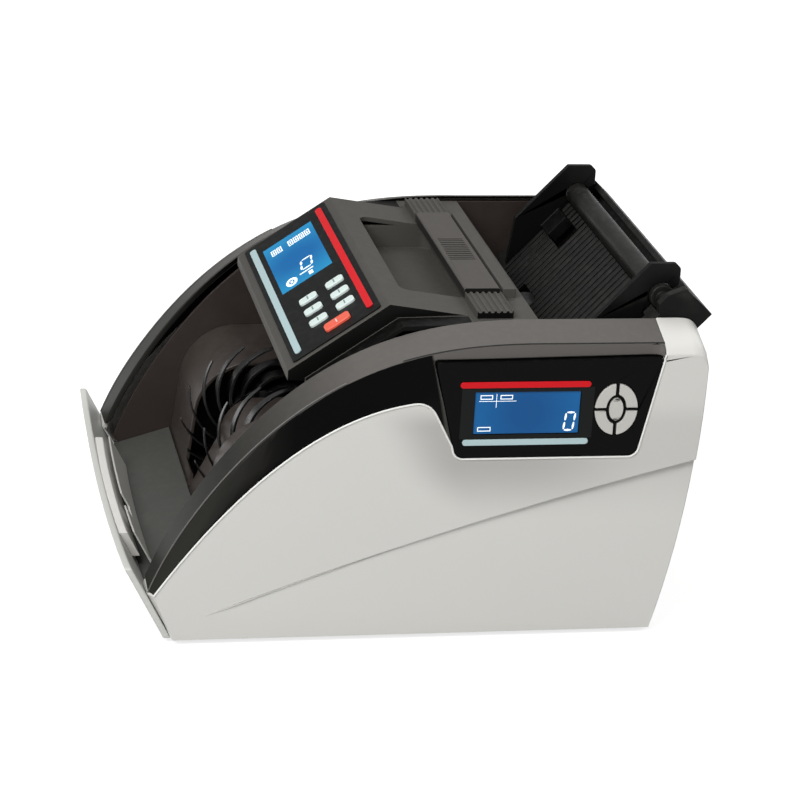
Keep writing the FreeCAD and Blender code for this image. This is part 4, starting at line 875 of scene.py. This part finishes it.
@dataclass
class Chassis(Section):
    """Base, feet, screws, side frames, bearings, boards and transformer."""

    rows: Rows = (
        ("base_plate", BASE_PAINT, 0.4), ("rubber_feet", RUBBER, 0.5), ("case_screws", STEEL, 0.3),
        ("side_frame_left", WALL_BROWN, 0.3), ("side_frame_right", WALL_BROWN, 0.3),
        ("shaft_bushes", BRONZE, 0.2), ("circuit_boards", BOARD, 0.0), ("transformer", WINDING, 0.8))
    board_thickness: float = 1.6
    chip_x: float = 46.0
    chip_pitch: float = 22.0
    chip_y: float = 22.0
    chip_stagger: float = 9.0
    chip_rounding: float = 0.4
    chip_sizes: Sizes = ((18, 18, 2.6), (12, 8, 2.4), (9, 9, 2.2), (14, 10, 12))

    def build(self) -> None:
        """Chips and capacitors on the main board."""
        low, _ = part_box("circuit_boards")
        chips = []
        for number, size in enumerate(self.chip_sizes):
            x = low.x + (self.chip_x + self.chip_pitch * number) * MM
            y = place(0, self.chip_y + self.chip_stagger * (number % 2), 0).y
            corner = Vector((x, y, low.z + self.board_thickness * MM))
            chips.append(block("chip", corner, corner + Vector(size) * MM, self.chip_rounding))
        self.carry(joined(chips, "board_chips"), "board_green", CHIP)


@dataclass
class SideCasings(Section):
    """Light casings and dark arched covers of both sides, with their beads and ridge lines."""

    segments: int = 3
    rows: Rows = (("left_side_casing", CASING_SHADED, 0.7), ("right_side_casing", CASING_SHADED, 0.7),
                  ("left_top_cover", COVER_LEFT, 0.9), ("right_top_cover", COVER_RIGHT, 0.9))
    skin_x: float = 125.0
    skin_depth: float = 0.3
    skin_facing: float = 0.98
    ridge_x: float = 120.0
    ridge_slack: float = 0.02
    ridge_drop: float = 1.0
    line_width: float = 0.5
    line_start: float = -14.0
    glint_end: float = -34.0
    glint_width: float = 0.7
    rim_radius: float = 0.5
    tip_z: float = 25.5
    corner_y: float = 113.8
    corner_z: float = 144.4
    crease: Sizes = ((-104.0, 14.0), (5.0, 53.0), (113.5, 90.0))
    crease_clear: float = 3.0

    def build(self) -> None:
        """Lines along the covers' ridges, and beads along the casings' upper edges, lighter than the casing
        as a painted highlight.
        """
        for side in ("right", "left"):
            self.build_ridge_lines(side)
        for side in ("right", "left"):
            path = self.rim(side + "_side_casing")
            self.carry(bead("casing_rim_" + side, path, self.rim_radius), "casing_light", RIM_HIGHLIGHT)

    def build_ridge_lines(self, side: str) -> None:
        """Thin dark line along the rear part of a cover's ridge, a painted shadow line, and a lighter one
        along its front, a painted highlight.

        Args:
            side: Side of the machine.
        """
        spots = {}
        for vertex in frame["nodes"][side + "_top_cover"].data.vertices:
            if abs(abs(vertex.co.x) - self.ridge_x * MM) < self.ridge_slack * MM:
                spots[round(vertex.co.y, 5)] = vertex.co.copy()
        path: list[Vector] = []
        for key in sorted(spots):
            if not path or spots[key].z > path[-1].z - self.ridge_drop * MM:
                path.append(spots[key])
        rear = [spot for spot in path if spot.y > self.line_start * MM]
        front = [spot for spot in path if spot.y < self.glint_end * MM]
        # Painted shadow line on the rear of the ridge.
        self.carry(bead("ridge_line_" + side, rear, self.line_width / 2), "cover_dark", RIDGE_SHADOW)
        # Painted highlight on the front of the ridge.
        self.carry(bead("ridge_glint_" + side, front, self.glint_width / 2), "cover_dark", GLINT)

    def crease_height(self, y: float) -> float:
        """Height of the style crease at a place along, by straight pieces."""
        first, last = self.crease[:2] if y < self.crease[1][0] else self.crease[1:]
        return first[1] + (last[1] - first[1]) * (y - first[0]) / (last[0] - first[0])

    def on_rim(self, spot: Triple) -> bool:
        """Whether a corner of a casing's outer face lies on its upper edge."""
        inside = self.tip_z < spot[2] < self.corner_z and spot[1] < self.corner_y
        return inside and spot[2] > self.crease_height(spot[1]) + self.crease_clear

    def rim(self, node: str) -> list[Vector]:
        """Points along the upper edge of a casing's outer face, from the front up and back.

        Args:
            node: Name of the casing.

        Returns:
            The points in metres.
        """
        mesh = frame["nodes"][node].data
        key = [tuple(round(v / MM, 2) for v in vertex.co) for vertex in mesh.vertices]
        seen: Counter = Counter()
        for polygon in mesh.polygons:
            outer = abs(polygon.center.x) > (self.skin_x - self.skin_depth) * MM
            if outer and abs(polygon.normal.x) > self.skin_facing:
                corners = [key[index] for index in polygon.vertices]
                seen.update(frozenset(pair) for pair in zip(corners, corners[1:] + corners[:1]))
        beside: dict[tuple, list[tuple]] = {}
        for pair, count in seen.items():
            if count == 1 and all(self.on_rim(spot) for spot in pair):
                for spot in pair:
                    beside.setdefault(spot, []).extend(other for other in pair if other != spot)
        path = [min(beside, key=lambda spot: spot[1])]
        while True:
            ahead = [spot for spot in beside[path[-1]] if spot not in path]
            if not ahead:
                return [Vector(spot) * MM for spot in path]
            path.append(ahead[0])


@dataclass
class Stacker(Section):
    """Front panel, note stop, stacker floor, guide and impeller."""

    rows: Rows = (
        ("front_panel", PANEL, 0.8), ("note_stop_pad", PAD, 0.5), ("note_stop_plate", STOP_GREY, 0.2),
        ("stacker_floor", FLOOR_GREY, 0.4), ("stacker_guide", GUIDE_BROWN, 0.5),
        ("impeller_wheels", FIN, 0.12), ("impeller_shaft", STEEL, 0.3))


@dataclass
class NotePath(Section):
    """Rollers, motors, pulleys and belts."""

    rows: Rows = (
        ("feed_shaft", ALLOY, 0.4), ("feed_tyres", TYRE, 0.4), ("kicker_shaft", STEEL, 0.3),
        ("kicker_tyres", TYRE, 0.4), ("transport_shaft", STEEL, 0.3), ("transport_tyres", TYRE, 0.4),
        ("pinch_rollers", STEEL, 0.4), ("retard_shaft", STEEL, 0.3), ("retard_tyres", TYRE, 0.4),
        ("main_motor", WINDING, 0.8), ("main_motor_pulley", ALLOY, 0.2), ("stacker_motor", WINDING, 0.8),
        ("stacker_motor_pulley", ALLOY, 0.2), ("drive_belts", RUBBER, 0.2))


@dataclass(frozen=True)
class Marks:
    """White marks of a display: a nought of six bars, filled marks, and outlined boxes and ovals.

    Each row has a mark's middle across and up, its width and height, and the width of its line if it has one.
    """

    name: str
    length: float
    width: float
    thickness: float
    nought: Pair
    rules: Sizes
    boxes: Sizes
    ovals: Sizes = ()
    slant: float = 7.0
    spacing: float = 1.08
    blunt: float = 1.55
    rounding: float = 0.04

    def bar(self) -> Object:
        """One bar of a figure, pointed at both ends, lying along X.

        Returns:
            The bar, at the origin.
        """
        scale = (self.length * MM, self.width * MM / math.sqrt(0.75), 1)
        piece = primitive("circle", scale, vertices=6, radius=0.5, fill_type="NGON")
        reach = Vector((0.3 * self.length, 0.1 * self.width)) * MM
        with editing(piece):
            pick(piece, lambda spot: abs(spot.y) > reach.y and abs(spot.x) < reach.x)
            bpy.ops.transform.resize(value=(self.blunt, 1.0, 1.0))
            thicken(self.thickness)
        return piece

    def outlined(self, row: Sequence[float], oval: bool) -> Object:
        """Small outlined box or oval.

        Args:
            row: Its place, size and line.
            oval: Whether it is an oval.

        Returns:
            The outline.
        """
        x, up, width, height, line = row
        scale = (width * MM, height * MM, 1)
        if oval:
            piece = primitive("circle", scale, vertices=32, radius=0.5, fill_type="NGON")
        else:
            piece = primitive("plane", scale, size=1)
        with editing(piece):
            bpy.ops.mesh.inset(thickness=line * MM)
            bpy.ops.mesh.delete(type="FACE")
            thicken(self.thickness)
        settle(piece, Matrix.Translation(Vector((x, up, 0)) * MM))
        return piece

    def filled(self, x: float, up: float, width: float, height: float) -> Object:
        """Plain line or filled mark with its corners cut."""
        low = Vector((x - width / 2, up - height / 2, 0)) * MM
        return block("rule", low, low + Vector((width, height, self.thickness)) * MM, self.rounding)

    def build(self) -> Object:
        """All marks, about the display's own origin.

        Returns:
            The marks as one object.
        """
        x, up = self.nought
        step = self.length * self.spacing
        lean = math.radians(self.slant)
        bars = [(0, step, 0), (0, -step, 0)]
        bars += [(sx * step / 2, sy * step / 2, 90) for sx in (-1, 1) for sy in (-1, 1)]
        pieces = []
        for across, rise, turn in bars:
            pieces.append(self.bar())
            angle = math.radians(turn) - (lean if turn else 0)
            spot = Vector((x + across + rise * math.tan(lean), up + rise, 0)) * MM
            settle(pieces[-1], Matrix.Translation(spot) @ Matrix.Rotation(angle, 4, "Z"))
        pieces += [self.filled(*row) for row in self.rules]
        pieces += [self.outlined(row, False) for row in self.boxes]
        pieces += [self.outlined(row, True) for row in self.ovals]
        return joined(pieces, self.name)


# Places across of the small upright boxes of the front display.
BOX_X = tuple(5.0 + 3.4 * number for number in (0, 1, 3, 4, 5, 6))
FRONT_MARKS = Marks(
    "front_display_marks", 5.6, 1.2, 0.12, (18.0, 20.5),
    rules=((16.2, 10.6, 8.0, 1.3), (18.0, 5.6, 2.4, 4.6), (7.0, 8.0, 1.4, 3.0),
           *((x, 58.5, 0.7, 4.2) for x in BOX_X)),
    boxes=tuple((x, 58.5, 2.9, 7.6, 0.6) for x in BOX_X), ovals=((7.0, 8.0, 6.6, 10.0, 1.7),))
SIDE_MARKS = Marks(
    "side_display_marks", 4.1, 0.95, 0.1, (20.9, -4.6),
    rules=((-14.5, 5.9, 18.0, 0.28), (-15.1, 6.1, 0.28, 7.0)),
    boxes=((-19.9, 7.9, 6.0, 2.2, 0.4), (-10.3, 7.9, 6.0, 2.2, 0.4), (-20.3, -8.1, 6.4, 2.2, 0.4)))
PALE_KEYS = tuple(f"front_key_{number}" for number in range(1, 7))


@dataclass
class ControlHead(Section):
    """Housing with the tilted key panel, its display and keys, and the carrying bridge."""

    rows: Rows = (
        ("control_housing", HOUSING, 0.35), ("control_overlay", SHEET_BLACK, 0.15),
        ("front_lcd", FRONT_BLUE, 0.15), ("red_strips", RED, 0.15), ("pale_strips", PALE, 0.15),
        ("carry_bridge", BRIDGE, 0.25), ("front_key_red", KEY_RED, 0.25),
        *((name, KEY_PALE, 0.25) for name in PALE_KEYS))
    lip_y: float = -61.0
    lip_z: float = 124.8
    tilt: float = 34.5
    face: float = 0.8
    lcd_low: float = 13.2
    dash_half: Pair = (2.2, 0.35)
    dash_height: float = 0.08
    dash_rounding: float = 0.03

    def build(self) -> None:
        """Marks of the display, read from the machine's right side, and legends of the keys."""
        turn = Matrix.Rotation(math.radians(self.tilt), 4, "X")
        screen = FRONT_MARKS.build()
        spot = Matrix.Translation(Vector((0, self.lcd_low, self.face)) * MM)
        upright = Matrix.Rotation(math.pi / 2, 4, "Z")
        settle(screen, Matrix.Translation(place(0, self.lip_y, self.lip_z)) @ turn @ spot @ upright)
        self.carry(screen, "lcd_blue", PRINT)
        for name in PALE_KEYS:
            self.carry(self.legend(name, turn), "key_pale", LEGEND, name)
        self.carry(self.legend("front_key_red", turn), "key_red", PAD, "front_key_red")

    def legend(self, name: str, turn: Matrix) -> Object:
        """Small printed dash on a key.

        Args:
            name: Name of the key's node.
            turn: Tilt of the key panel.

        Returns:
            The dash.
        """
        spots = [turn.inverted() @ vertex.co for vertex in frame["nodes"][name].data.vertices]
        low, high = (Vector(pick_end(axis) for axis in zip(*spots)) for pick_end in (min, max))
        middle = Vector((*((low + high) / 2).xy, high.z))
        dash = Vector((*self.dash_half, 0.0)) * MM
        rise = Vector((0, 0, self.dash_height * MM))
        mark = block(name + "_legend", middle - dash, middle + dash + rise, self.dash_rounding)
        settle(mark, turn)
        return mark


@dataclass
class Hopper(Section):
    """Ribbed hopper tray, its rod and the two note guides."""

    rows: Rows = (("hopper_tray", HOPPER_DARK, 0.22), ("hopper_rod", ROD_DARK, 0.5),
                  ("note_guide_left", GUIDE_DARK, 0.6), ("note_guide_right", GUIDE_DARK, 0.6))


@dataclass
class SideDisplay(Section):
    """Second display with its ring of keys."""

    rows: Rows = (("side_display_bezel", BEZEL_BLACK, 0.4), ("side_lcd", SIDE_BLUE, 0.15),
                  *(("side_key_" + name, KEY_GREY, 0.25) for name in ("1", "2", "3", "4", "centre")))
    panel_margin: Pair = (6.5, 2.3)
    panel_gap: Pair = (0.4, 0.4)
    panel_rise: float = 0.12
    inset_share: float = 0.2

    def build(self) -> None:
        """Panel on the bezel, round the display and between the two strips, and the display's marks."""
        low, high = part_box("side_lcd")
        middle = (low + high) / 2
        for node, piece, slot, finish in (
                ("side_display_bezel", self.panel((high - low).yz), "panel_black", BEZEL_GREY),
                ("side_lcd", SIDE_MARKS.build(), "lcd_blue", PRINT)):
            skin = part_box(node)[1].x
            settle(piece, Matrix(((0, 0, 1, skin), (1, 0, 0, middle.y), (0, 1, 0, middle.z), (0, 0, 0, 1))))
            self.carry(piece, slot, finish)

    def panel(self, lcd: Vector) -> Object:
        """Thin flat panel with a hole for the display.

        Args:
            lcd: Length and height of the display in metres.

        Returns:
            The panel, at the origin.
        """
        width, height = lcd + 2 * Vector(self.panel_margin) * MM
        hole = lcd + Vector(self.panel_gap) * MM
        panel = primitive("plane", (width, height, 1), size=1)
        panel.name = "side_display_panel"
        with editing(panel):
            bpy.ops.mesh.inset(thickness=self.inset_share * height)
        with editing(panel):
            pick(panel, lambda spot: abs(spot.y) < (1 - self.inset_share) * height / 2)
            spots = [vertex.co for vertex in panel.data.vertices if vertex.select]
            now = [2 * max(spot[axis] for spot in spots) for axis in (0, 1)]
            bpy.ops.transform.resize(value=(hole.x / now[0], hole.y / now[1], 1.0))
            bpy.ops.mesh.delete(type="ONLY_FACE")
            thicken(self.panel_rise)
        return panel


@dataclass
class Rear(Section):
    """Rear panel, the power inlet with its metal pins, and the rocker."""

    rows: Rows = (("rear_panel", REAR_LIGHT, 0.4), ("power_inlet", INLET, 0.3), ("power_rocker", INLET, 0.3))
    socket_from_middle: float = 9.0
    socket_depth: float = 14.0
    pin_spread: float = 7.0
    pin_width: float = 2.2
    pin_height: float = 4.2
    pin_recess: float = 4.85
    pin_wrap: float = 0.1
    pin_rounding: float = 0.5
    inlet_z: float = 40.0

    def build(self) -> None:
        """Metal pins over the inlet's three prongs."""
        low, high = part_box("power_inlet")
        middle = (low.x + high.x) / 2 / MM + self.socket_from_middle
        face = high.y / MM
        pins = []
        for side in (-1, 0, 1):
            x = middle + side * self.pin_spread - self.pin_width / 2
            z = self.inlet_z + (self.pin_wrap - self.pin_height if side else -self.pin_wrap)
            first = Vector((x, face - self.socket_depth, z)) * MM
            last = Vector((x + self.pin_width, face - self.pin_recess, z + self.pin_height)) * MM
            pins.append(block("pin", first, last, self.pin_rounding))
        self.carry(joined(pins, "inlet_pins"), "steel", STEEL)


@dataclass
class Studio:
    """Pale floor, soft light, white background and the camera of the photograph's view, in metres."""

    camera_place: Triple = (1.40796, -0.2822, 0.60892)
    azimuth: float = 78.177
    elevation: float = 20.337
    roll: float = 3.413
    focal_pixels: float = 3000.0
    image_pixels: float = 800.0
    clip: Pair = (0.05, 50.0)
    white: Triple = (1.0, 1.0, 1.0)
    world_strength: float = 0.30
    floor_size: float = 40.0
    floor_colour: Triple = (0.45, 0.45, 0.45)
    floor_fade: Pair = (0.35, 1.2)
    floor_glow: Pair = (0.75, 1.0)
    lamp_aim: Triple = (0.0, 0.0, 0.08)
    lamps: tuple[tuple[str, Triple, float, float], ...] = (
        ("key", (1.0, -0.9, 1.3), 0.8, 25.0), ("fill", (1.5, 0.5, 0.9), 1.0, 2.5),
        ("top", (-0.5, 0.2, 1.4), 1.0, 5.0), ("back", (-1.0, 1.3, 1.0), 1.0, 8.0))

    def build_camera(self) -> None:
        """Camera as solved from the photograph's outline."""
        data = bpy.data.cameras.new("camera")
        data.sensor_width = 36.0
        data.lens = self.focal_pixels * data.sensor_width / self.image_pixels
        data.clip_start, data.clip_end = self.clip
        camera = bpy.data.objects.new("camera", data)
        bpy.context.scene.collection.objects.link(camera)
        turns = ((self.azimuth, "Z"), (90.0 - self.elevation, "X"), (self.roll, "Z"))
        camera.matrix_world = Matrix.Translation(self.camera_place)
        for angle, axis in turns:
            camera.matrix_world = camera.matrix_world @ Matrix.Rotation(math.radians(angle), 4, axis)
        bpy.context.scene.camera = camera

    def build_floor(self) -> None:
        """Pale floor that keeps the object's shadow and blends into the white background."""
        floor = primitive("plane", (1, 1, 1), size=self.floor_size)
        floor.name = "floor"
        material = bpy.data.materials.new("floor_pale")
        material.use_nodes = True
        graph = Graph(material.node_tree)
        shader = graph.tree.nodes["Principled BSDF"]
        graph.feed(shader, {"Base Color": self.floor_colour, "Roughness": 0.9, "Specular IOR Level": 0.0})
        rays = graph.add("ShaderNodeLightPath").outputs
        seen = graph.most(rays["Is Camera Ray"], rays["Is Glossy Ray"], rays["Is Transmission Ray"])
        spot = graph.add("ShaderNodeNewGeometry").outputs["Position"]
        away = graph.add("ShaderNodeVectorMath", {0: spot}, operation="LENGTH").outputs["Value"]
        bright = graph.add("ShaderNodeEmission", {1: graph.remap(away, *self.floor_fade, *self.floor_glow)})
        both = graph.add("ShaderNodeAddShader", {0: shader.outputs[0], 1: bright.outputs[0]})
        mix = graph.add("ShaderNodeMixShader", {0: seen, 1: shader.outputs[0], 2: both.outputs[0]})
        graph.feed(graph.tree.nodes["Material Output"], {"Surface": mix.outputs[0]})
        paint(floor, material)

    def build_world(self) -> None:
        """Soft surrounding light, white where the camera sees it."""
        world = bpy.data.worlds.new("studio")
        bpy.context.scene.world = world
        world.use_nodes = True
        graph = Graph(world.node_tree)
        soft = graph.tree.nodes["Background"]
        graph.feed(soft, {0: self.white, 1: self.world_strength})
        plain = graph.add("ShaderNodeBackground", {0: self.white, 1: 1.0})
        seen = graph.add("ShaderNodeLightPath").outputs["Is Camera Ray"]
        mix = graph.add("ShaderNodeMixShader", {0: seen, 1: soft.outputs[0], 2: plain.outputs[0]})
        graph.feed(graph.tree.nodes["World Output"], {"Surface": mix.outputs[0]})

    def build_lamps(self) -> None:
        """Soft square lamps that look at the machine, by name, place, side and power in watts."""
        for name, spot, size, power in self.lamps:
            data = bpy.data.lights.new(name, "AREA")
            data.size = size
            data.energy = power
            lamp = bpy.data.objects.new(name, data)
            bpy.context.scene.collection.objects.link(lamp)
            lamp.location = spot
            lamp.rotation_euler = (Vector(self.lamp_aim) - Vector(spot)).to_track_quat("-Z", "Y").to_euler()

    def build(self) -> None:
        """Camera, floor, background and lamps."""
        bpy.context.scene.view_settings.view_transform = "Standard"
        self.build_camera()
        self.build_floor()
        self.build_world()
        self.build_lamps()
        log.info("studio is ready")


def main() -> None:
    """Build and dress the machine, section by section."""
    palette = Palette(grain_group(), wear_group(), turning_group())
    Studio().build()
    for kind in (Chassis, SideCasings, Stacker, NotePath, ControlHead, Hopper, SideDisplay, Rear):
        section = kind(palette)
        section.dress()
        section.build()
    log.info("the machine is dressed")


if __name__ == "__main__":
    main()
